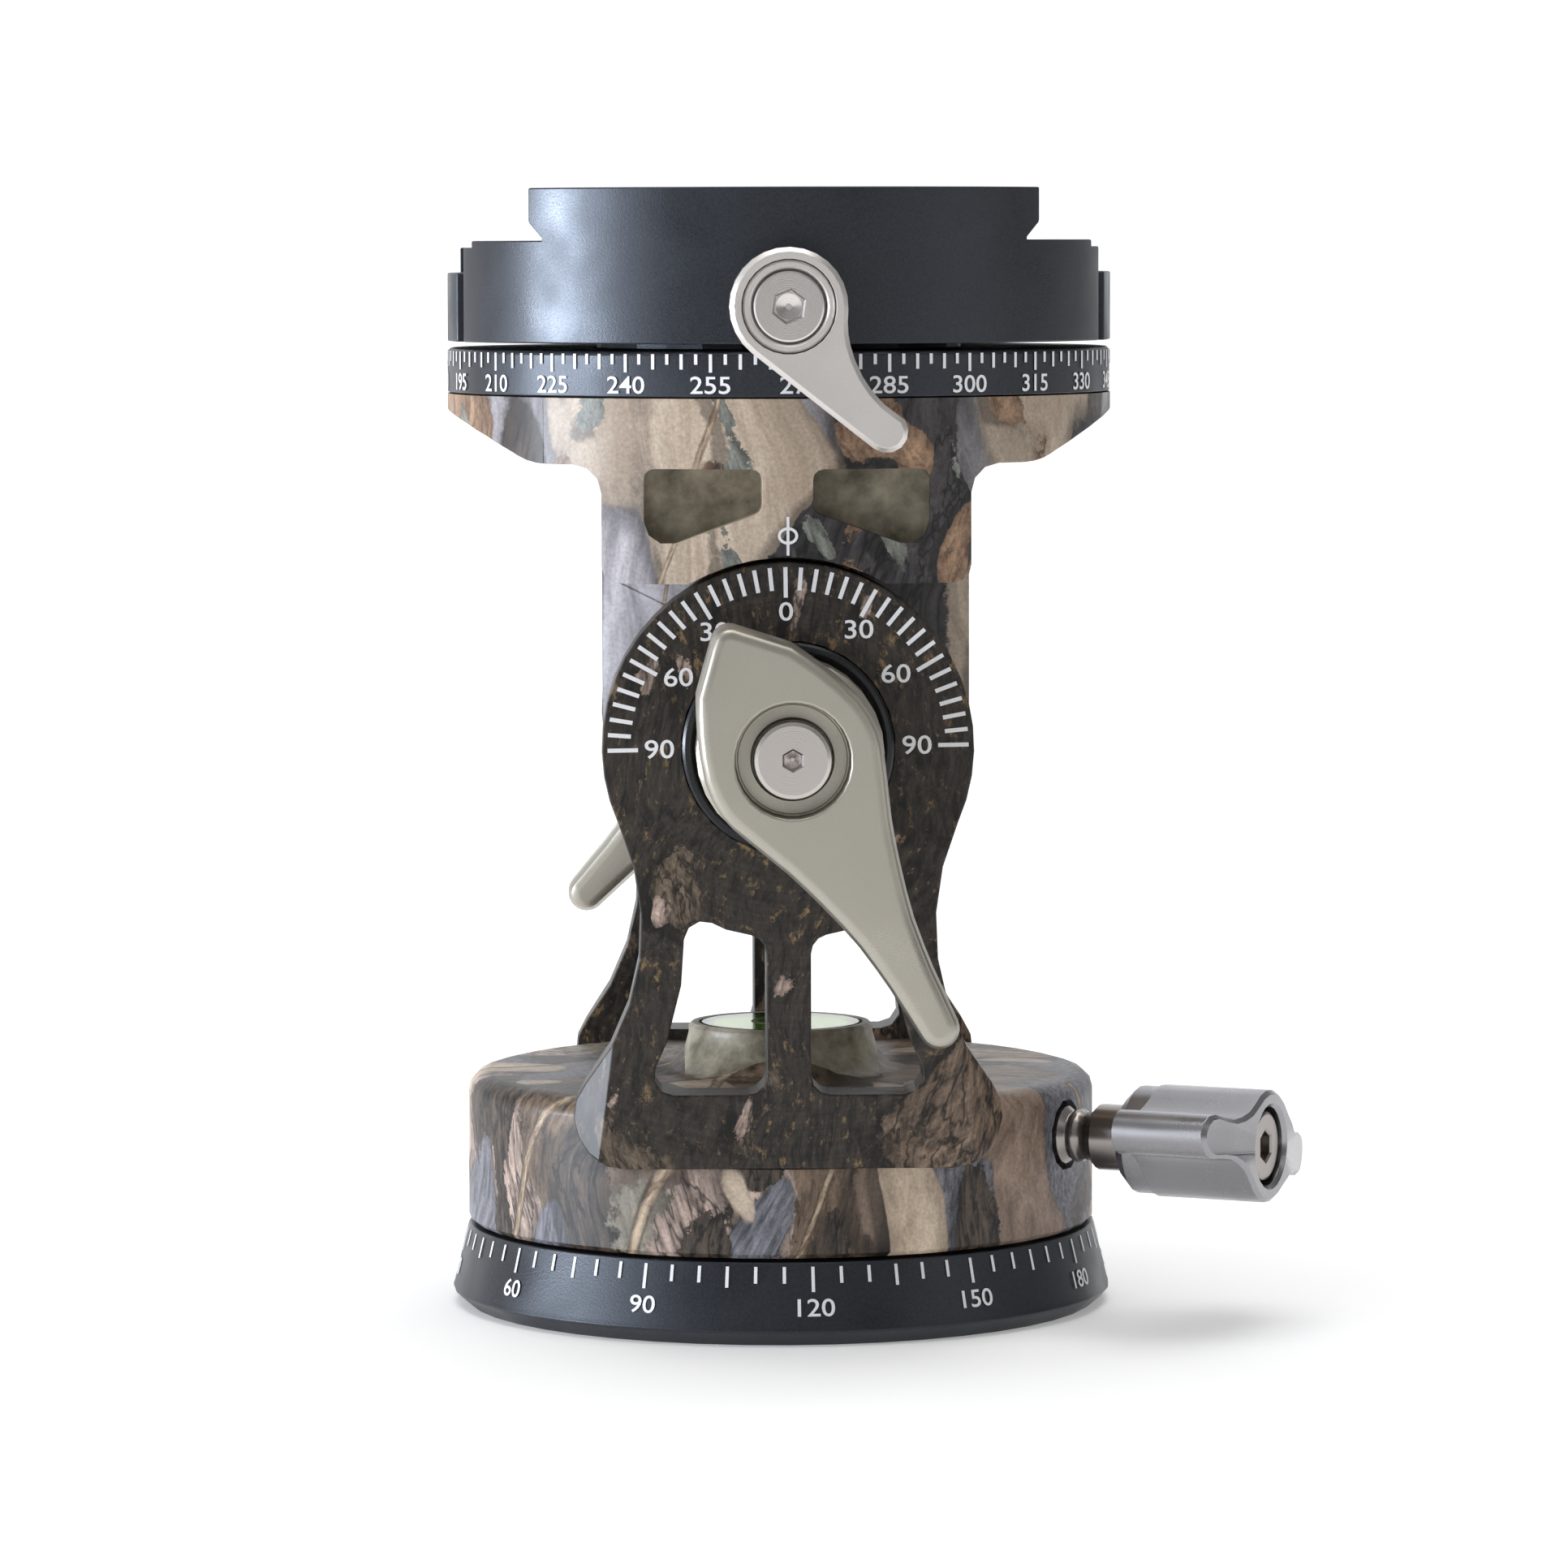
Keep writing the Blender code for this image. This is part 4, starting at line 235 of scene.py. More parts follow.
def mix(tree, factor, first, second, blend="MIX"):
    made = add(tree, "ShaderNodeMix", data_type="RGBA", blend_type=blend)
    for socket, value in zip((made.inputs[0], made.inputs[6], made.inputs[7]), (factor, first, second)):
        if isinstance(value, bpy.types.NodeSocket):
            tree.links.new(value, socket)
        elif isinstance(value, tuple):
            socket.default_value = (*value, 1.0)
        else:
            socket.default_value = value
    return made.outputs[2]


def darkened(tree, tone, level):
    """A tone times a grey level."""
    return mix(tree, 1.0, tone, level, "MULTIPLY")


def bump(tree, height, strength):
    inputs = {"Height": height, "Strength": strength, "Distance": RELIEF_DEPTH}
    return add(tree, "ShaderNodeBump", inputs).outputs["Normal"]


def metal(name, colour, metallic, roughness, grain=6.0, contrast=0.12, relief=0.05, specular=0.5):
    """A satin or blasted metal: its tone and gloss vary a little with a fine grain and with a broad one."""
    made, tree, shader = new_material(name)
    fine = noise(tree, millimetres(tree), grain, 3.0, 0.6).outputs["Fac"]
    broad = noise(tree, millimetres(tree), BROAD_SCALE).outputs["Fac"]
    dark = tuple(channel * (1 - contrast) for channel in colour)
    light = tuple(min(1.0, channel * (1 + contrast)) for channel in colour)
    gloss = spread(tree, fine, roughness - GLOSS_SPREAD, roughness + GLOSS_SPREAD)
    wear = calculated(tree, "SUBTRACT", calculated(tree, "ADD", gloss, broad), BROAD_MIDDLE)
    worn_gloss = calculated(tree, "MULTIPLY", calculated(tree, "ADD", gloss, wear), 0.5)
    tone = two_tones(tree, fine, dark, light)
    feed(tree, shader, Base_Color=tone, Roughness=worn_gloss, Metallic=metallic)
    feed(tree, shader, Specular_IOR_Level=specular, Normal=bump(tree, fine, relief))
    return made


def rings_round(tree, centre, axis, pitch):
    """Fine rings round an axis, such as a lathe or a cutter leaves, as a number about 0.5."""
    offset = vector_calculated(tree, "SUBTRACT", object_place(tree), tuple(centre))
    along = vector_calculated(tree, "DOT_PRODUCT", offset, tuple(axis), "Value")
    radial = vector_calculated(tree, "SUBTRACT", offset, vector_scaled(tree, tuple(axis), along))
    radius = add(tree, "ShaderNodeVectorMath", {0: radial}, operation="LENGTH").outputs["Value"]
    steps = calculated(tree, "MULTIPLY", calculated(tree, "ADD", radius, along), 1 / pitch)
    rings = add(tree, "ShaderNodeTexNoise", {"W": steps, "Scale": 1.0, "Detail": 2.0}, noise_dimensions="1D")
    return rings.outputs["Fac"]


def turned_metal(name, colour, roughness, line):
    """Bright metal with the fine rings that a lathe leaves round a line."""
    made, tree, shader = new_material(name)
    fine = rings_round(tree, *line, LATHE_PITCH)
    dark = tuple(channel * LATHE_DARK_SHARE for channel in colour)
    tone = two_tones(tree, fine, dark, colour)
    gloss = spread(tree, fine, roughness + LATHE_GLOSS[0], roughness + LATHE_GLOSS[1])
    feed(tree, shader, Base_Color=tone, Roughness=gloss, Metallic=1.0)
    feed(tree, shader, Normal=bump(tree, fine, LATHE_RELIEF))
    return made


def stretched(tree, place, size, lean, offset=(0.0, 0.0, 0.0)):
    """Coordinates for blobs or streaks that measure this across and along, and lean to one side."""
    across, along = size
    inputs = {
        "Vector": place,
        "Location": offset,
        "Rotation": (lean / 2, lean, 0.0),
        "Scale": (across, across, along),
    }
    return add(tree, "ShaderNodeMapping", inputs, vector_type="TEXTURE").outputs["Vector"]


def streaked(tree, place, lean, grain, dark, light):
    """The tone of bark or of a dry leaf: fine streaks between two colours."""
    streaks = noise(tree, stretched(tree, place, grain, lean), 1.0, 6.0, 0.68, 0.5).outputs["Fac"]
    return two_tones(tree, streaks, dark, light, 0.36, 0.64)


def fissured(tree, place, lean, grain, tone):
    """Darkens a tone along the cracks of old bark."""
    size = (grain[0] * CRACK_SIZE_SHARES[0], grain[1] * CRACK_SIZE_SHARES[1])
    field = noise(tree, stretched(tree, place, size, lean), 1.0, 3.0, 0.6).outputs["Fac"]
    return darkened(tree, tone, ramp(tree, distance_from_middle(tree, field), CRACK_STOPS))


def from_level(level, stops):
    return [(level + rise, tone) for rise, tone in stops]


def laid_patch(tree, place, fringe, below, patch):
    """Lays one kind of leaf or slab of bark over what lies below, with a soft shadow beside it."""
    size, lean, offset, level, ragged, grain, cracked, dark, light = patch
    rough_edge = calculated(tree, "MULTIPLY", fringe, ragged)
    heights = []
    for shift in ((0.0, 0.0), SHADOW_SHIFT):
        moved_offset = (offset[0] + shift[0], offset[1], offset[2] - shift[1])
        blob = noise(tree, stretched(tree, place, size, lean, moved_offset), 1.0, 0.6, 0.4).outputs["Fac"]
        heights.append(calculated(tree, "ADD", blob, rough_edge))
    inside = ramp(tree, heights[0], from_level(level, PATCH_STOPS))
    shadow = ramp(tree, heights[1], from_level(level, SHADOW_STOPS))
    tone = streaked(tree, place, lean, grain, dark, light)
    if cracked:
        tone = fissured(tree, place, lean, grain, tone)
    rim = ramp(tree, heights[0], from_level(level, RIM_STOPS))
    return mix(tree, inside, darkened(tree, below, shadow), darkened(tree, tone, rim))


def thin_twigs(tree, place, colour, twigs):
    """A few long thin twigs, lit along their middle, over the rest."""
    offset, lean, width = twigs
    path = noise(tree, stretched(tree, place, TWIG_SIZE, lean, offset), 1.0, 0.8).outputs["Fac"]
    off_path = distance_from_middle(tree, path)
    mask = ramp(tree, off_path, [(width, 1.0), (width * 1.2, 0.0)])
    bark = streaked(tree, place, lean, TWIG_GRAIN, *TWIG_BARK)
    bark = darkened(tree, bark, ramp(tree, off_path, [(width * 0.3, 1.0), (width, 0.25)]))
    return mix(tree, mask, colour, bark)


def pocket_tint(tree, place, colour, pockets):
    """The film stretches thin in a pocket or over a boss: inside these limits it shows an olive tone."""
    front, half_width, low, high = pockets
    parts = add(tree, "ShaderNodeSeparateXYZ", {"Vector": place}).outputs
    inside = calculated(tree, "LESS_THAN", calculated(tree, "ABSOLUTE", parts["Y"]), front)
    between = calculated(tree, "LESS_THAN", calculated(tree, "ABSOLUTE", parts["X"]), half_width)
    above = calculated(tree, "GREATER_THAN", parts["Z"], low)
    below = calculated(tree, "LESS_THAN", parts["Z"], high)
    levels = calculated(tree, "MULTIPLY", above, below)
    mask = calculated(tree, "MULTIPLY", calculated(tree, "MULTIPLY", inside, between), levels)
    cloudy = noise(tree, place, POCKET_CLOUD_SCALE, 4.0, 0.6).outputs["Fac"]
    return mix(tree, mask, colour, two_tones(tree, cloudy, *POCKET_TONES, 0.35, 0.65))


def camouflage_film(name, ground, ochre_share, patches, twigs, marks_axis=None, pockets=None):
    """A printed film: dark bark, with leaves and slabs of bark laid over it, and a few thin twigs on top."""
    made, tree, shader = new_material(name)
    place = millimetres(tree)
    warp = noise(tree, place, BEND_SCALE, 1.0).outputs["Color"]
    shift = vector_calculated(tree, "SUBTRACT", warp, (0.5, 0.5, 0.5))
    bent = vector_calculated(tree, "ADD", place, vector_scaled(tree, shift, BEND_REACH))
    fringe = calculated(tree, "SUBTRACT", noise(tree, place, FRINGE_SCALE, 4.0, 0.7).outputs["Fac"], 0.5)

    lean, grain, dark, light = ground
    colour = streaked(tree, bent, lean, grain, dark, light)
    fleck_size = (grain[0] * FLECK_SIZE_SHARES[0], grain[1] * FLECK_SIZE_SHARES[1])
    flecks = noise(tree, stretched(tree, bent, fleck_size, lean), 1.0, 5.0, 0.75).outputs["Fac"]
    colour = mix(tree, two_tones(tree, flecks, 0.0, ochre_share, *FLECK_STOPS), colour, OCHRE)
    for patch in patches:
        colour = laid_patch(tree, bent, fringe, colour, patch)
    if twigs:
        colour = thin_twigs(tree, bent, colour, twigs)

    grains = noise(tree, place, FILM_GRAIN_SCALE, 2.0, 0.6).outputs["Fac"]
    colour = darkened(tree, colour, two_tones(tree, grains, 0.84, 1.16))
    if pockets:
        colour = pocket_tint(tree, place, colour, pockets)
    relief = noise(tree, place, FILM_RELIEF_SCALE, 3.0).outputs["Fac"]
    # On the plates the cutter's rings round the tilt axis are real relief, and the tone also turns lighter
    # and darker along them as a painted highlight on the marks
    if marks_axis:
        relief = rings_round(tree, marks_axis, REAR, CUTTER_PITCH)
        colour = darkened(tree, colour, two_tones(tree, relief, 0.86, 1.12, 0.35, 0.65))
    feed(tree, shader, Base_Color=colour, Roughness=0.46, Specular_IOR_Level=0.3)
    feed(tree, shader, Coat_Weight=0.10, Coat_Roughness=0.24)
    feed(tree, shader, Normal=bump(tree, relief, FILM_RELIEF))
    return made


# The film's colours, each a dark and a light tone
OCHRE = (0.270, 0.180, 0.085)
TWIG_BARK = ((0.160, 0.100, 0.062), (0.560, 0.440, 0.310))
PLATE_BARK = ((0.0075, 0.0066, 0.0062), (0.048, 0.038, 0.030))
DARK_BARK = ((0.014, 0.012, 0.012), (0.110, 0.080, 0.058))
BROWN_BARK = ((0.030, 0.022, 0.018), (0.230, 0.160, 0.110))
TAN_BARK = ((0.030, 0.023, 0.017), (0.200, 0.150, 0.105))
PINK_BARK = ((0.120, 0.080, 0.065), (0.560, 0.430, 0.360))
HEAD_LEAF = ((0.320, 0.248, 0.185), (0.510, 0.420, 0.330))
BEIGE_LEAF = ((0.400, 0.310, 0.225), (0.640, 0.520, 0.400))
BROWN_LEAF = ((0.160, 0.110, 0.080), (0.330, 0.240, 0.185))
RUST_LEAF = ((0.110, 0.065, 0.042), (0.380, 0.240, 0.150))
OLIVE_LEAF = ((0.150, 0.130, 0.100), (0.330, 0.300, 0.240))
SLATE = ((0.060, 0.060, 0.068), (0.250, 0.250, 0.285))
LILAC = ((0.170, 0.158, 0.168), (0.420, 0.395, 0.415))
MOSS = ((0.090, 0.095, 0.080), (0.290, 0.300, 0.265))
CHARCOAL = ((0.018, 0.017, 0.020), (0.070, 0.062, 0.064))

# Where the film is stretched thin, in millimetres: half depth, half width, and lowest and highest level
LEVEL_BOSS = (8.8, 8.8, 21.2, 26.0)
NECK_POCKETS = (26.5, 12.6, 69.0, 77.0)

# Patches: size across and along, lean, offset, level, raggedness, grain, whether cracked, and two tones
camo_disc = camouflage_film(
    "camouflage film, light",
    (0.10, (0.9, 5.0), *BROWN_BARK),
    0.5,
    [
        ((20.0, 26.0), 0.25, (8.0, 3.0, 11.0), 0.47, 0.03, (1.6, 9.0), False, *BROWN_LEAF),
        ((22.0, 40.0), -0.10, (41.0, 17.0, 8.0), 0.54, 0.05, (1.2, 8.0), False, *OLIVE_LEAF),
        ((14.0, 40.0), -0.15, (31.0, 7.0, 4.0), 0.51, 0.10, (0.8, 5.0), True, *PINK_BARK),
        ((13.0, 22.0), 0.45, (13.0, 41.0, 9.0), 0.58, 0.03, (0.6, 4.0), False, *SLATE),
        ((8.0, 24.0), 0.15, (2.0, 23.0, 35.0), 0.61, 0.12, (0.8, 4.0), True, *DARK_BARK),
        ((10.0, 26.0), -0.45, (19.0, 11.0, 27.0), 0.65, 0.02, (2.0, 11.0), False, *BEIGE_LEAF),
    ],
    ((5.0, 1.0, 14.0), 0.55, 0.008),
    pockets=LEVEL_BOSS,
)
camo_head = camouflage_film(
    "camouflage film, head",
    (0.30, (1.0, 6.0), *DARK_BARK),
    0.35,
    [
        ((20.0, 60.0), 0.12, (8.0, 2.0, 21.0), 0.54, 0.02, (2.6, 30.0), False, *LILAC),
        ((22.0, 70.0), -0.20, (-3.0, 14.0, 6.0), 0.53, 0.02, (2.8, 34.0), False, *HEAD_LEAF),
        ((17.0, 30.0), 0.30, (25.0, 5.0, 17.0), 0.52, 0.06, (1.0, 7.0), True, *CHARCOAL),
        ((6.0, 24.0), 0.45, (11.0, 37.0, 2.0), 0.60, 0.10, (0.9, 6.0), False, *RUST_LEAF),
        ((4.0, 11.0), -0.4, (7.0, 19.0, 31.0), 0.69, 0.16, (0.6, 3.0), False, *MOSS),
    ],
    ((21.0, 8.0, 3.0), 0.35, 0.006),
    pockets=NECK_POCKETS,
)
camo_plate = camouflage_film(
    "camouflage film, dark",
    (0.10, (0.7, 3.0), *PLATE_BARK),
    0.75,
    [
        ((12.0, 26.0), 0.10, (9.0, 5.0, 2.0), 0.63, 0.12, (0.8, 4.0), True, *BROWN_BARK),
        ((9.0, 12.0), -0.15, (23.0, 6.0, 31.0), 0.66, 0.12, (0.7, 3.0), True, *TAN_BARK),
        ((4.0, 10.0), 0.25, (4.0, 15.0, 13.0), 0.74, 0.14, (0.8, 4.0), True, *PINK_BARK),
    ],
    None,
    TILT_CENTRE,
)

SATIN = {"grain": 8.0, "contrast": 0.06, "relief": 0.04}
black = metal(
    "black anodised", (0.0115, 0.012, 0.015), 0.0, 0.38, grain=5.5, contrast=0.60, relief=0.15, specular=0.60
)
black.node_tree.nodes["Principled BSDF"].inputs["Specular Tint"].default_value = (0.80, 0.88, 1.0, 1.0)
black_gloss = metal("black anodised, turned", (0.010, 0.011, 0.013), 0.2, 0.20, contrast=0.2)
silver = metal("satin silver", (0.45, 0.425, 0.365), 0.88, 0.37, **SATIN)
pale_silver = metal("satin silver, pale", (0.71, 0.675, 0.645), 0.88, 0.37, **SATIN)
grey = metal("grey anodised", (0.34, 0.335, 0.35), 0.97, 0.27, grain=8.0, contrast=0.07, relief=0.04)
washer_white = metal("white polymer", (0.70, 0.70, 0.68), 0.0, 0.45, contrast=0.04)
brass = metal("brass", (0.55, 0.40, 0.16), 1.0, 0.32)
bronze = metal("bronze", (0.40, 0.26, 0.13), 1.0, 0.42, contrast=0.2)
# One stainless steel in four copies that differ only in brightness: each copy's tone is set to how bright
# its parts look where they stand, lit and shaded copies of one material, that is painted light
steel_base = turned_metal("stainless, base", (0.46, 0.44, 0.43), 0.26, PAN_LINE)
steel_tilt = turned_metal("stainless, tilt axis", (0.60, 0.56, 0.53), 0.24, TILT_LINE)
steel_lever = turned_metal("stainless, clamp lever", (0.74, 0.70, 0.68), 0.24, CLAMP_LEVER_LINE)
steel_lock = turned_metal("stainless, pan lock", (0.36, 0.33, 0.31), 0.24, PAN_LOCK_LINE)


def print_material(name, colour):
    made, tree, shader = new_material(name)
    fine = noise(tree, millimetres(tree), 9.0).outputs["Fac"]
    faded = tuple(channel * 0.9 for channel in colour)
    feed(tree, shader, Base_Color=two_tones(tree, fine, faded, colour, 0.25), Roughness=0.5)
    return made


def clear_material():
    made, tree, shader = new_material("clear acrylic")
    haze = noise(tree, millimetres(tree), 0.8).outputs["Fac"]
    gloss = spread(tree, haze, 0.03, 0.09)
    feed(tree, shader, Base_Color=(0.72, 1.0, 0.28, 1.0), Roughness=gloss, Transmission_Weight=1.0, IOR=1.49)
    return made


def liquid_material():
    made, tree, shader = new_material("level liquid")
    haze = noise(tree, millimetres(tree), 0.5).outputs["Fac"]
    tone = two_tones(tree, haze, (0.55, 0.90, 0.12), (0.70, 0.95, 0.25))
    feed(tree, shader, Base_Color=tone, Roughness=0.15)
    return made


FINISHES = {
    black: ["clamp_body", "clamp_jaw", "upper_scale_ring", "base_ring", "pan_hub"],
    black_gloss: ["front_bezel_ring", "rear_bezel_ring"],
    camo_disc: ["base_disc"],
    camo_head: ["tilt_bracket"],
    camo_plate: ["front_plate", "rear_plate"],
    silver: ["front_tilt_lever", "rear_tilt_lever", "front_clamp_nut", "rear_clamp_nut"],
    pale_silver: ["clamp_lever", "clamp_lever_insert"],
    grey: ["pan_lock_knob", "retaining_ring"],
    steel_lock: ["pan_lock_screw", "pan_lock_knob_screw"],
    steel_tilt: ["front_lever_screw", "rear_lever_screw", "tilt_axle"],
    steel_lever: ["clamp_lever_screw", "draw_screw", "clamp_lever_washer"],
    washer_white: [
        "pan_washer",
        "upper_pan_washer",
        "front_friction_washer",
        "rear_friction_washer",
        "level_backing",
    ],
    brass: ["pan_lock_pad"],
    bronze: ["front_bush", "rear_bush"],
    clear_material(): ["level_vial"],
    liquid_material(): ["level_liquid"],
}
finish_of = {node: finish for finish, nodes in FINISHES.items() for node in nodes}


def dress(piece, finish):
    piece.data.materials.clear()
    piece.data.materials.append(finish)


for name, cad_node in frame["nodes"].items():
    dress(cad_node, finish_of.get(name, steel_base))


# Smooth skins over the faceted solids

# A face belongs to a turned surface where its normal points this little to the side
TURNED_TOLERANCE = 0.09
# Facets of the head's round outside lie this little inside it, and are split in this many strips
ROUND_SAG = 0.12 * MM
ROUND_STRIPS = 180
# Corners nearer than this are one, and faces that meet at less than the flat angle are one
SEWING = 0.001 * MM
FLAT_ANGLE = math.radians(0.5)
# Edges stay sharp above these angles
SHARP_ANGLE = math.radians(32)
TURNED_SHARP_ANGLE = math.radians(15)
EDGE_SEGMENTS = 3

# How far a node's edges are rounded, the line that its round faces turn about, and the radius to round it to
SKINS = {
    "base_ring": (0.12 * MM, PAN_LINE, None),
    "base_disc": (0.12 * MM, PAN_LINE, None),
    "upper_scale_ring": (0.12 * MM, PAN_LINE, None),
    "clamp_body": (0.10 * MM, PAN_LINE, None),
    "clamp_jaw": (0.10 * MM, PAN_LINE, None),
    "tilt_bracket": (0.14 * MM, PAN_LINE, HEAD_RADIUS),
    "front_plate": (0.15 * MM, None, None),
    "rear_plate": (0.15 * MM, None, None),
    "front_tilt_lever": (0.2 * MM, None, None),
    "rear_tilt_lever": (0.2 * MM, None, None),
    "clamp_lever": (0.12 * MM, None, None),
    "pan_lock_knob": (0.10 * MM, None, None),
    "pan_lock_screw": (0.0, PAN_LOCK_LINE, None),
    "front_clamp_nut": (0.0, TILT_LINE, None),
    "rear_clamp_nut": (0.0, TILT_LINE, None),
}


def true_to_axis(piece, centre, axis):
    """Makes the shading of turned faces as round as their axis, whatever facets they have."""
    evaluated = piece.evaluated_get(bpy.context.evaluated_depsgraph_get())
    mesh = bpy.data.meshes.new_from_object(evaluated)
    piece.modifiers.clear()
    piece.data = mesh
    axis = Vector(axis)
    centre = Vector(centre)

    def sideways(place):
        around = axis.cross(place - centre)
        return around.normalized() if around.length > MM else Vector((0, 0, 0))

    normals = [corner.vector.copy() for corner in mesh.corner_normals]
    for face in mesh.polygons:
        if abs(face.normal.dot(sideways(face.center))) > TURNED_TOLERANCE:
            continue
        for loop in face.loop_indices:
            around = sideways(mesh.vertices[mesh.loops[loop].vertex_index].co)
            normal = normals[loop] - around * normals[loop].dot(around)
            if normal.length > 0.5:
                normals[loop] = normal.normalized()
    mesh.normals_split_custom_set(normals)


def rounded_off(bm, radius):
    """Splits the broad facets of a round upright face in strips and moves them out to its true radius."""

    def on_round(vert):
        return -ROUND_SAG < math.hypot(vert.co.x, vert.co.y) - radius < ROUND_SAG

    for strip in range(ROUND_STRIPS // 2):
        angle = 2 * math.pi * (strip + 0.5) / ROUND_STRIPS
        faces = [face for face in bm.faces if all(on_round(vert) for vert in face.verts)]
        edges = {edge for face in faces for edge in face.edges}
        verts = {vert for face in faces for vert in face.verts}
        across = (math.cos(angle), math.sin(angle), 0)
        bmesh.ops.bisect_plane(bm, geom=[*faces, *edges, *verts], plane_co=(0, 0, 0), plane_no=across)
    for vert in bm.verts:
        if on_round(vert):
            stretch = radius / math.hypot(vert.co.x, vert.co.y)
            vert.co.x *= stretch
            vert.co.y *= stretch


def place_piece(name, bm, body):
    """Makes a piece of a mesh that moves with a body."""
    mesh = bpy.data.meshes.new(name)
    bm.to_mesh(mesh)
    bm.free()
    piece = bpy.data.objects.new(name, mesh)
    bpy.context.collection.objects.link(piece)
    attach(piece, body)
    return piece


def skin(node, edge, turned_about, round_radius):
    """Stands for a CAD node with its form: its facets are joined, shaded smooth and rounded a little."""
    source = frame["nodes"][node]
    bm = bmesh.new()
    bm.from_mesh(source.data)
    bmesh.ops.remove_doubles(bm, verts=bm.verts, dist=SEWING)
    bmesh.ops.dissolve_limit(bm, angle_limit=FLAT_ANGLE, verts=bm.verts, edges=bm.edges)
    if round_radius:
        rounded_off(bm, round_radius)
    piece = place_piece(node + "_surface", bm, source["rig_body"])
    piece.data.shade_smooth()
    piece.data.set_sharp_from_angle(angle=SHARP_ANGLE)
    if edge:
        rounding = piece.modifiers.new("rounding", "BEVEL")
        rounding.width = edge
        rounding.segments = EDGE_SEGMENTS
        rounding.limit_method = "ANGLE"
        rounding.angle_limit = SHARP_ANGLE
    evened = piece.modifiers.new("evened", "WEIGHTED_NORMAL")
    evened.keep_sharp = True
    if turned_about:
        true_to_axis(piece, *turned_about)
    dress(piece, finish_of.get(node, steel_base))
    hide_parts(node)


for node, (edge, line, round_radius) in SKINS.items():
    skin(node, edge, line, round_radius)


# Small turned parts, finer than their solids

TURNED_SIDES = 96
HEXAGON = 6
CLAMP_LEVER_SCREW_TURN = math.radians(8)

# Sizes of the screws' sockets and chamfers that all share, in millimetres
SOCKET_LIP = 0.18
TIP_CHAMFER = 0.25
NECK_CHAMFER = 0.1
DRILL_DEPTH = 0.25

# Screws: tip, neck, top, radii of shank and head, chamfer, radius and floor of the socket, in millimetres
CLAMP_LEVER_SCREW = (29.0, 34.0, 35.4, 1.25, 3.1, 0.22, 1.40, 34.4)
TILT_LEVER_SCREW = (37.5, 42.5, 44.5, 2.0, 3.4, 0.45, 0.85, 43.3)
KNOB_SCREW = (39.8, 45.8, 47.6, 1.5, 3.1, 0.3, 1.44, 46.5)

# Rings: inner and outer reach, inner and outer radius, and chamfer, in millimetres
CLAMP_LEVER_INSERT = (33.1, 35.4, 3.28, 3.98, 0.18)
LEVER_SEAT = (42.2, 42.55, 3.5, 4.7, 0.08)
BEZEL_RING = (26.9, 29.7, 8.4, 9.2, 0.22)


def turned_part(node, centre, axis, profile, turn=0.0, beside=None):
    """A lathe part in a node's place or beside it. Its profile has (reach along it, radius, corners)."""
    axis = Vector(axis).normalized()
    up = Vector(UP)
    side = up.cross(axis).normalized()
    bm = bmesh.new()
    rings = []
    for reach, radius, corners in profile:
        ring = []
        for index in range(TURNED_SIDES):
            angle = 2 * math.pi * index / TURNED_SIDES
            out = radius
            if corners:
                sector = 2 * math.pi / corners
                out = radius * math.cos(sector / 2) / math.cos(angle % sector - sector / 2)
            direction = up * math.cos(angle + turn) + side * math.sin(angle + turn)
            ring.append(bm.verts.new(Vector(centre) + axis * reach + direction * out))
        rings.append(ring)
    closed = profile[0] == profile[-1]
    if closed:
        bmesh.ops.delete(bm, geom=rings.pop(), context="VERTS")
        rings.append(rings[0])
    for low, high in zip(rings, rings[1:]):
        for index in range(TURNED_SIDES):
            after = (index + 1) % TURNED_SIDES
            bm.faces.new((low[index], low[after], high[after], high[index]))
    if not closed:
        bm.faces.new(rings[0])
        bm.faces.new(rings[-1])
    bmesh.ops.recalc_face_normals(bm, faces=bm.faces)
    piece = place_piece(beside or node + "_turned", bm, frame["nodes"][node]["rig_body"])
    dress(piece, finish_of.get(node, steel_base))
    piece.data.shade_smooth()
    piece.data.set_sharp_from_angle(angle=TURNED_SHARP_ANGLE)
    if not beside:
        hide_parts(node)


def in_millimetres(profile):
    return [(reach * MM, radius * MM, corners) for reach, radius, corners in profile]


def socket_screw(tip, neck, top, shank, head, chamfer, socket, socket_floor):
    """Profile of a screw with a hexagon socket in its head, from the tip to the socket's floor."""
    return in_millimetres(
        [
            (tip, shank - TIP_CHAMFER, 0),
            (tip + TIP_CHAMFER, shank, 0),
            (neck, shank, 0),
            (neck, head - NECK_CHAMFER, 0),
            (neck + NECK_CHAMFER, head, 0),
            (top - chamfer, head, 0),
            (top - chamfer * 0.3, head - chamfer * 0.3, 0),
            (top, head - chamfer, 0),
            (top, socket + SOCKET_LIP, HEXAGON),
            (top - SOCKET_LIP, socket, HEXAGON),
            (socket_floor, socket, HEXAGON),
            (socket_floor, socket * 0.8, 0),
            (socket_floor - DRILL_DEPTH, socket * 0.2, 0),
        ]
    )


def flat_ring(inner_reach, outer_reach, inner, outer, chamfer):
    """Profile of a ring with chamfered outer edges."""
    return in_millimetres(
        [
            (inner_reach, inner, 0),
            (inner_reach, outer - chamfer, 0),
            (inner_reach + chamfer, outer, 0),
            (outer_reach - chamfer, outer, 0),
            (outer_reach, outer - chamfer, 0),
            (outer_reach, inner + chamfer, 0),
            (outer_reach - chamfer, inner, 0),
            (inner_reach, inner, 0),
        ]
    )


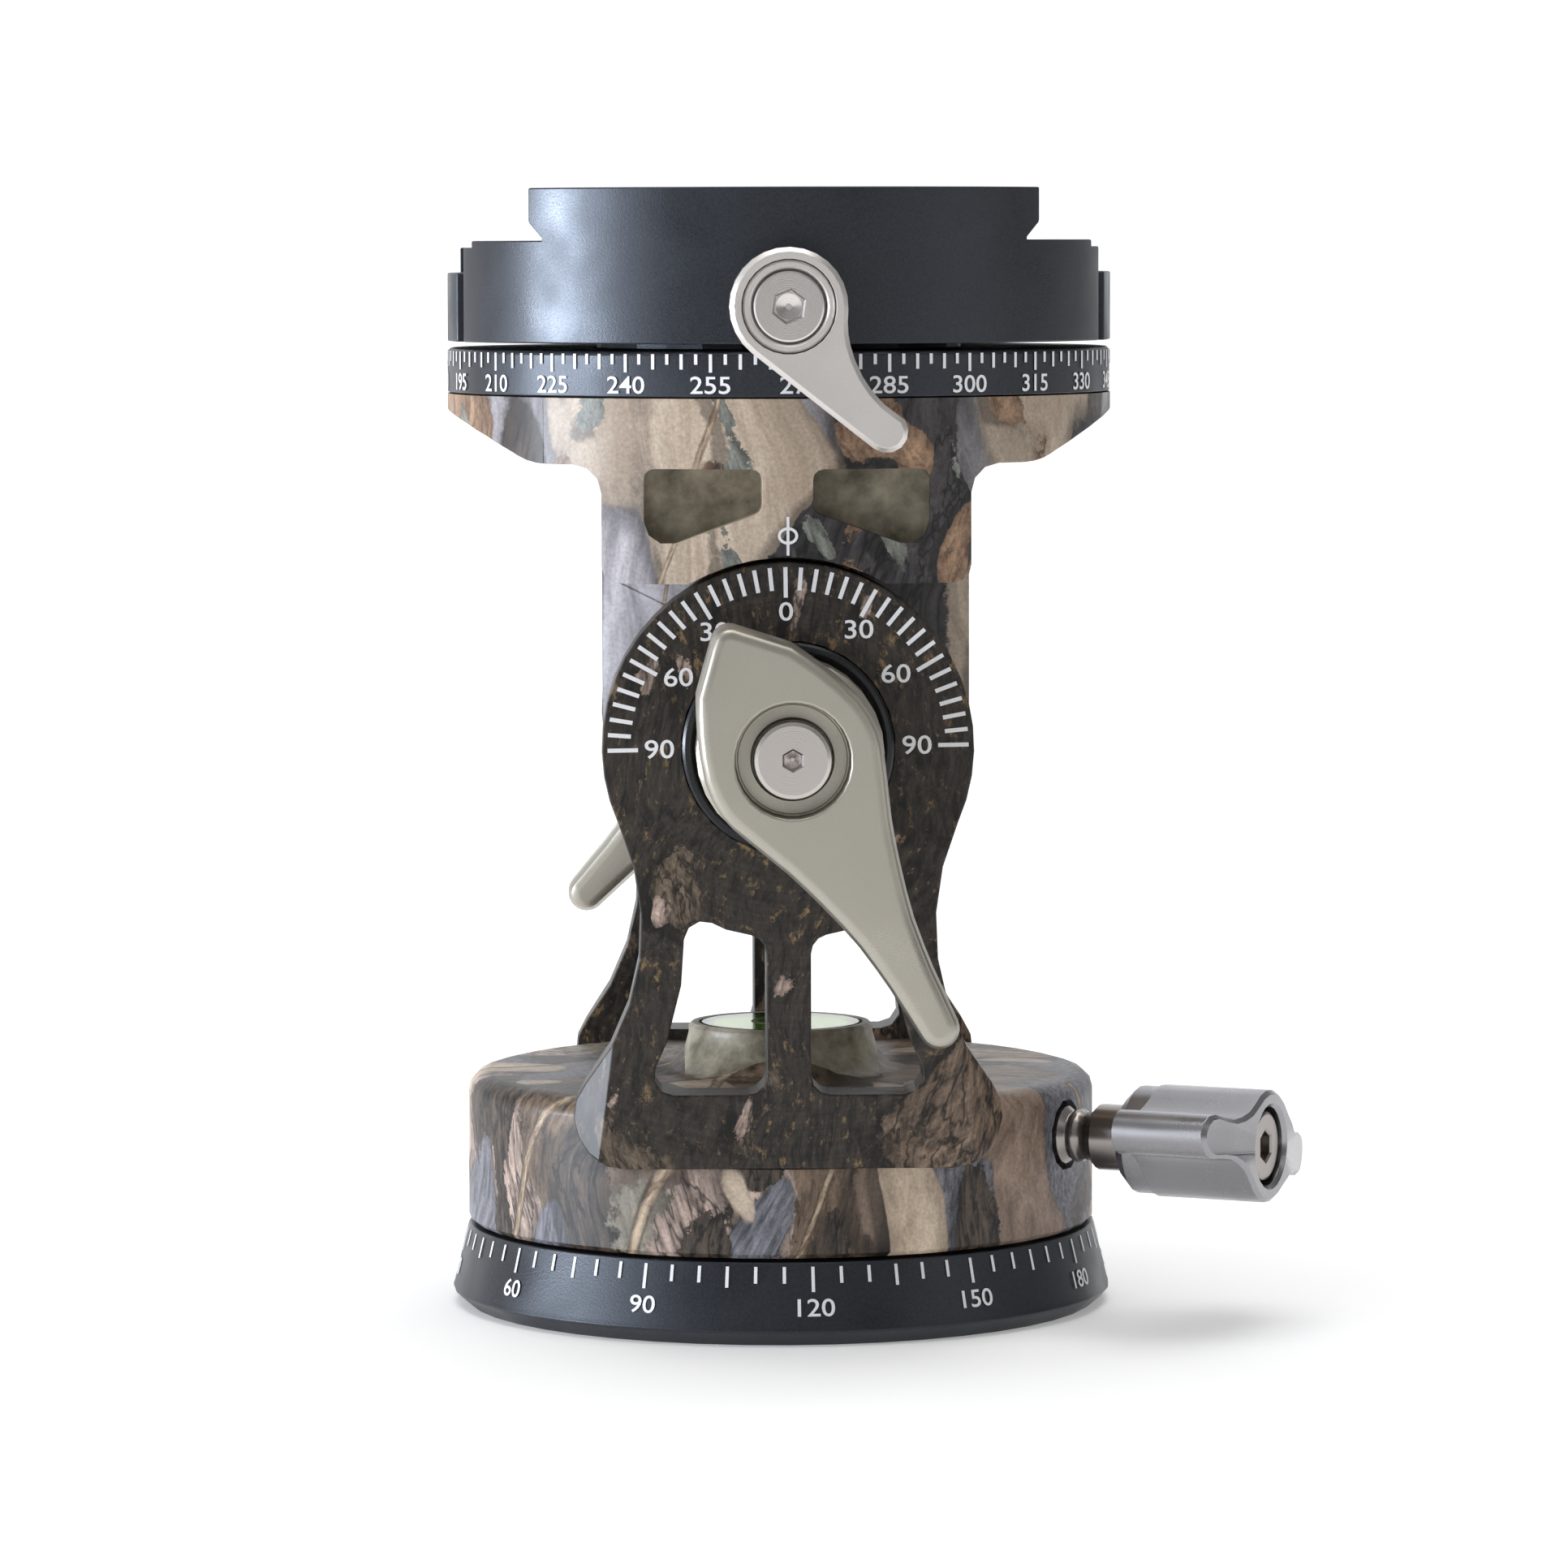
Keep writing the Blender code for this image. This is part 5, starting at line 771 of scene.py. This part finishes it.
clamp_lever_screw = socket_screw(*CLAMP_LEVER_SCREW)
turned_part("clamp_lever_screw", CLAMP_LEVER_CENTRE, FRONT, clamp_lever_screw, CLAMP_LEVER_SCREW_TURN)
turned_part("clamp_lever_insert", CLAMP_LEVER_CENTRE, FRONT, flat_ring(*CLAMP_LEVER_INSERT))
for side, face in SIDES.items():
    turned_part(side + "_lever_screw", TILT_CENTRE, face, socket_screw(*TILT_LEVER_SCREW))
for side, face in SIDES.items():
    seat = side + "_lever_seat"
    turned_part(side + "_tilt_lever", TILT_CENTRE, face, flat_ring(*LEVER_SEAT), beside=seat)
for side, face in SIDES.items():
    turned_part(side + "_bezel_ring", TILT_CENTRE, face, flat_ring(*BEZEL_RING))
turned_part("pan_lock_knob_screw", PAN_LOCK_CENTRE, PAN_LOCK_DIRECTION, socket_screw(*KNOB_SCREW))


# Printed markings

# Markings stand this far proud of what carries them
PRINT_LIFT = 0.02 * MM
PRINT_THICKNESS = 0.02 * MM
WHITE_PRINT = (0.86, 0.86, 0.88)
BLACK_PRINT = (0.02, 0.02, 0.02)

# Digits: how much wider and bolder they are than the built-in type, and how finely their curves are drawn
DIGIT_WIDENING = 1.18
DIGIT_BOLDNESS = 0.008
DIGIT_CURVE_STEPS = 4
DIGIT_HEIGHT = 1.52 * MM
TICK_WIDTH = 0.29 * MM
TICK_ROWS = 3
LOOP_STEPS = 32

UPPER_TICK_INSET = 0.25 * MM

# Scales round a ring: the degrees in front and how far they are turned, the step, the ticks' lengths by the
# multiples that they stand at, their top, how often a number stands, the digits' foot and the radius
UPPER_SCALE = {
    "front": 270,
    "shift": math.radians(2.2),
    "step": 2.5,
    "ticks": {15: 1.58 * MM, 5: 1.32 * MM, 2.5: 0.90 * MM},
    "tick_top": UPPER_RING_TOP - UPPER_TICK_INSET,
    "digits_every": 15,
    "digit_foot": 83.21 * MM,
    "radius": HEAD_RADIUS,
}
BASE_MEAN_RADIUS = 28.8 * MM
BASE_SCALE = {
    "front": 120,
    "shift": math.radians(4.1),
    "step": 5,
    "ticks": {30: 2.15 * MM, 15: 1.80 * MM, 5: 1.42 * MM},
    "tick_top": 6.95 * MM,
    "digits_every": 30,
    "digit_foot": 2.70 * MM,
    "radius": BASE_MEAN_RADIUS,
}
BASE_SLOPE = (HEAD_RADIUS - BASE_RING_TOP_RADIUS) / (BASE_RING_TOP - BASE_RING_FOOT)

# Tilt dial on the front plate: ticks every 5 degrees over the upper half, numbers every 30
DIAL_LIMIT = 90
DIAL_STEP = 5
DIAL_DIGITS_EVERY = 30
DIAL_TURN = math.radians(0.75)
DIAL_OUTER = 15.7 * MM
DIAL_SHORT = 13.7 * MM
DIAL_LONG = 13.05 * MM
DIAL_TICK_WIDTH = 0.36 * MM
DIAL_DIGIT_HEIGHT = 1.64 * MM
DIAL_DIGIT_PLACES = {
    0: (0.0, 11.85 * MM),
    30: (6.27 * MM, 10.2 * MM),
    60: (9.45 * MM, 6.3 * MM),
    90: (11.2 * MM, 0.05 * MM),
}

# Index mark on the neck: a circle with a line through it
INDEX_LINE = (69.25 * MM, 72.6 * MM)
INDEX_CENTRE = 70.95 * MM
INDEX_STROKE = 0.25 * MM
INDEX_HALF_WIDTH = 0.88 * MM
INDEX_HALF_HEIGHT = 0.75 * MM

# The level's black circle, on the vial's face
LEVEL_CIRCLE_RADIUS = 2.7 * MM
LEVEL_CIRCLE_STROKE = 0.3 * MM


def glyphs(text, height):
    """A line of text as (points, faces), centred on x with its foot on y = 0, its capitals this tall."""
    curve = bpy.data.curves.new("line", "FONT")
    curve.body = text
    curve.align_x = "CENTER"
    curve.size = 1.0
    curve.resolution_u = DIGIT_CURVE_STEPS
    curve.offset = DIGIT_BOLDNESS
    drawn = bpy.data.objects.new("line", curve)
    bpy.context.collection.objects.link(drawn)
    bpy.context.view_layer.update()
    mesh = bpy.data.meshes.new_from_object(drawn.evaluated_get(bpy.context.evaluated_depsgraph_get()))
    top = max(vert.co.y for vert in mesh.vertices)
    foot = min(vert.co.y for vert in mesh.vertices)
    scale = height / (top - foot)
    points = [(vert.co.x * scale * DIGIT_WIDENING, (vert.co.y - foot) * scale) for vert in mesh.vertices]
    faces = [tuple(face.vertices) for face in mesh.polygons]
    bpy.data.objects.remove(drawn)
    bpy.data.curves.remove(curve)
    bpy.data.meshes.remove(mesh)
    return points, faces


def bar(x, low, high, width):
    """A tick as (points, faces), in short lengths so that it can follow a curved surface."""
    points = []
    for row in range(TICK_ROWS + 1):
        y = low + (high - low) * row / TICK_ROWS
        points += [(x - width / 2, y), (x + width / 2, y)]
    faces = [(2 * row, 2 * row + 1, 2 * row + 3, 2 * row + 2) for row in range(TICK_ROWS)]
    return points, faces


def loop_shape(half_width, half_height, stroke):
    """A circle or an oval of one stroke, as (points, faces)."""
    points, faces = [], []
    for step in range(LOOP_STEPS):
        angle = 2 * math.pi * step / LOOP_STEPS
        for inset in (0, stroke):
            points.append(((half_width - inset) * math.cos(angle), (half_height - inset) * math.sin(angle)))
        after = (step + 1) % LOOP_STEPS
        faces.append((2 * step, 2 * after, 2 * after + 1, 2 * step + 1))
    return points, faces


def moved(shape, x=0.0, y=0.0, turn=0.0):
    points, faces = shape
    cos, sin = math.cos(turn), math.sin(turn)
    return [(px * cos - py * sin + x, px * sin + py * cos + y) for px, py in points], faces


def printed(name, shapes, wrap, body, ink):
    """One printed piece: flat shapes laid on a surface by a function from (x, y, lift) to a place."""
    bm = bmesh.new()
    for points, faces in shapes:
        low = [bm.verts.new(wrap(x, y, PRINT_LIFT)) for x, y in points]
        high = [bm.verts.new(wrap(x, y, PRINT_LIFT + PRINT_THICKNESS)) for x, y in points]
        rim = {}
        for face in faces:
            bm.faces.new([high[i] for i in face])
            bm.faces.new([low[i] for i in reversed(face)])
            for a, b in zip(face, face[1:] + face[:1]):
                if (b, a) in rim:
                    del rim[(b, a)]
                else:
                    rim[(a, b)] = True
        for a, b in rim:
            bm.faces.new((low[a], low[b], high[b], high[a]))
    bmesh.ops.recalc_face_normals(bm, faces=bm.faces)
    dress(place_piece(name, bm, body), ink)


def ring_shapes(front, shift, step, ticks, tick_top, digits_every, digit_foot, radius):
    """The ticks and numbers of a scale round a ring, unrolled flat."""
    shapes = []
    for index in range(round(360 / step)):
        degrees = index * step
        length = next(size for every, size in sorted(ticks.items(), reverse=True) if degrees % every == 0)
        x = (math.radians(degrees - front) + shift) * radius
        shapes.append(bar(x, tick_top - length, tick_top, TICK_WIDTH))
        if degrees % digits_every == 0:
            shapes.append(moved(glyphs(str(int(degrees)), DIGIT_HEIGHT), x, digit_foot))
    return shapes


def dial_shapes():
    """The ticks and numbers of the tilt dial, round its centre."""
    shapes = []
    for degrees in range(-DIAL_LIMIT, DIAL_LIMIT + 1, DIAL_STEP):
        angle = math.radians(degrees) - DIAL_TURN
        inner = DIAL_SHORT if degrees % DIAL_DIGITS_EVERY else DIAL_LONG
        shapes.append(moved(bar(0, inner, DIAL_OUTER, DIAL_TICK_WIDTH), turn=-angle))
        if degrees % DIAL_DIGITS_EVERY == 0:
            x, z = DIAL_DIGIT_PLACES[abs(degrees)]
            number = glyphs(str(abs(degrees)), DIAL_DIGIT_HEIGHT)
            number = moved(number, math.copysign(x, degrees), z - DIAL_DIGIT_HEIGHT / 2)
            shapes.append(moved(number, turn=DIAL_TURN))
    return shapes


def on_upper_ring(x, z, lift):
    angle = x / HEAD_RADIUS
    radius = HEAD_RADIUS + lift
    return radius * math.sin(angle), -radius * math.cos(angle), z


def on_base_ring(x, z, lift):
    angle = x / BASE_MEAN_RADIUS
    radius = BASE_RING_TOP_RADIUS + (BASE_RING_TOP - z) * BASE_SLOPE + lift
    return radius * math.sin(angle), -radius * math.cos(angle), z


def on_dial(x, z, lift):
    return x, -DIAL_FACE - lift, TILT_AXIS + z


def on_level(x, y, lift):
    return x, y, LEVEL_FACE + lift


white_print = print_material("white print", WHITE_PRINT)
printed("upper_ring_scale", ring_shapes(**UPPER_SCALE), on_upper_ring, "tilt_head", white_print)
printed("base_ring_scale", ring_shapes(**BASE_SCALE), on_base_ring, "base", white_print)
printed("tilt_dial_scale", dial_shapes(), on_dial, "yoke", white_print)
index_line = bar(0, *INDEX_LINE, INDEX_STROKE)
index_loop = moved(loop_shape(INDEX_HALF_WIDTH, INDEX_HALF_HEIGHT, INDEX_STROKE), 0, INDEX_CENTRE)
printed("tilt_index_mark", [index_line, index_loop], on_upper_ring, "tilt_head", white_print)
level_circle = loop_shape(LEVEL_CIRCLE_RADIUS, LEVEL_CIRCLE_RADIUS, LEVEL_CIRCLE_STROKE)
printed("level_circle", [level_circle], on_level, "yoke", print_material("black print", BLACK_PRINT))


# Floor, light and camera


def studio_sweep():
    """A wide pale floor, and a narrower backdrop that curves up from it."""
    foot = BACKDROP_PLACE - BACKDROP_RADIUS
    profile = [(foot, 0.0)]
    for step in range(1, BACKDROP_STEPS + 1):
        angle = -math.pi / 2 + math.pi / 2 * step / BACKDROP_STEPS
        reach = foot + BACKDROP_RADIUS * math.cos(angle)
        profile.append((reach, BACKDROP_RADIUS + BACKDROP_RADIUS * math.sin(angle)))
    profile.append((BACKDROP_PLACE, BACKDROP_TOP))
    bm = bmesh.new()
    rows = []
    for y, z in profile:
        rows.append([bm.verts.new((x, y, z)) for x in (-BACKDROP_REACH, BACKDROP_REACH)])
    for low, high in zip(rows, rows[1:]):
        bm.faces.new((low[0], low[1], high[1], high[0]))
    corners = [(-1, -1), (1, -1), (1, 1), (-1, 1)]
    bm.faces.new([bm.verts.new((x * FLOOR_REACH, y * FLOOR_REACH, 0)) for x, y in corners])
    mesh = bpy.data.meshes.new("studio_sweep")
    bm.to_mesh(mesh)
    bm.free()
    mesh.shade_smooth()
    sweep = bpy.data.objects.new("studio_sweep", mesh)
    bpy.context.collection.objects.link(sweep)
    made, tree, shader = new_material("pale paper")
    feed(tree, shader, Base_Color=(0.93, 0.93, 0.93, 1.0), Roughness=0.9, Specular_IOR_Level=0.1)
    feed(tree, shader, Emission_Color=(1.0, 1.0, 1.0, 1.0), Emission_Strength=0.25)
    dress(sweep, made)


def soft_box(name, place, width, height, power, colour):
    lamp = bpy.data.lights.new(name, "AREA")
    lamp.shape = "RECTANGLE"
    lamp.size = width
    lamp.size_y = height
    lamp.energy = power
    lamp.color = colour
    box = bpy.data.objects.new(name, lamp)
    box.location = place
    box.rotation_euler = (LAMP_TARGET - Vector(place)).to_track_quat("-Z", "Y").to_euler()
    bpy.context.collection.objects.link(box)


def surroundings():
    """A studio's dim walls: their brightness changes with the direction."""
    world = bpy.data.worlds.new("studio")
    world.use_nodes = True
    tree = world.node_tree
    direction = add(tree, "ShaderNodeTexCoord").outputs["Generated"]
    heading = add(tree, "ShaderNodeSeparateXYZ", {"Vector": direction})
    levels = []
    for side, stops in SKY_STOPS.items():
        span = {"Value": heading.outputs[side], "From Min": -1.0, "From Max": 1.0}
        levels.append(ramp(tree, add(tree, "ShaderNodeMapRange", span).outputs[0], stops))
    background = tree.nodes["Background"]
    background.inputs["Strength"].default_value = 1.0
    tree.links.new(darkened(tree, *levels), background.inputs["Color"])
    return world


studio_sweep()
for name, lamp in LAMPS.items():
    soft_box(name, *lamp)
bpy.context.scene.world = surroundings()
bpy.context.scene.view_settings.view_transform = "Standard"

camera_data = bpy.data.cameras.new("camera")
camera_data.lens = CAMERA_LENS
camera_data.sensor_width = SENSOR_WIDTH
camera_data.clip_start, camera_data.clip_end = CAMERA_CLIP
camera = bpy.data.objects.new("camera", camera_data)
bpy.context.collection.objects.link(camera)
aim = (CAMERA_TARGET - CAMERA_PLACE).to_track_quat("-Z", "Y").to_matrix().to_4x4()
camera.matrix_world = Matrix.Translation(CAMERA_PLACE) @ aim @ Matrix.Rotation(CAMERA_ROLL, 4, "Z")
bpy.context.scene.camera = camera
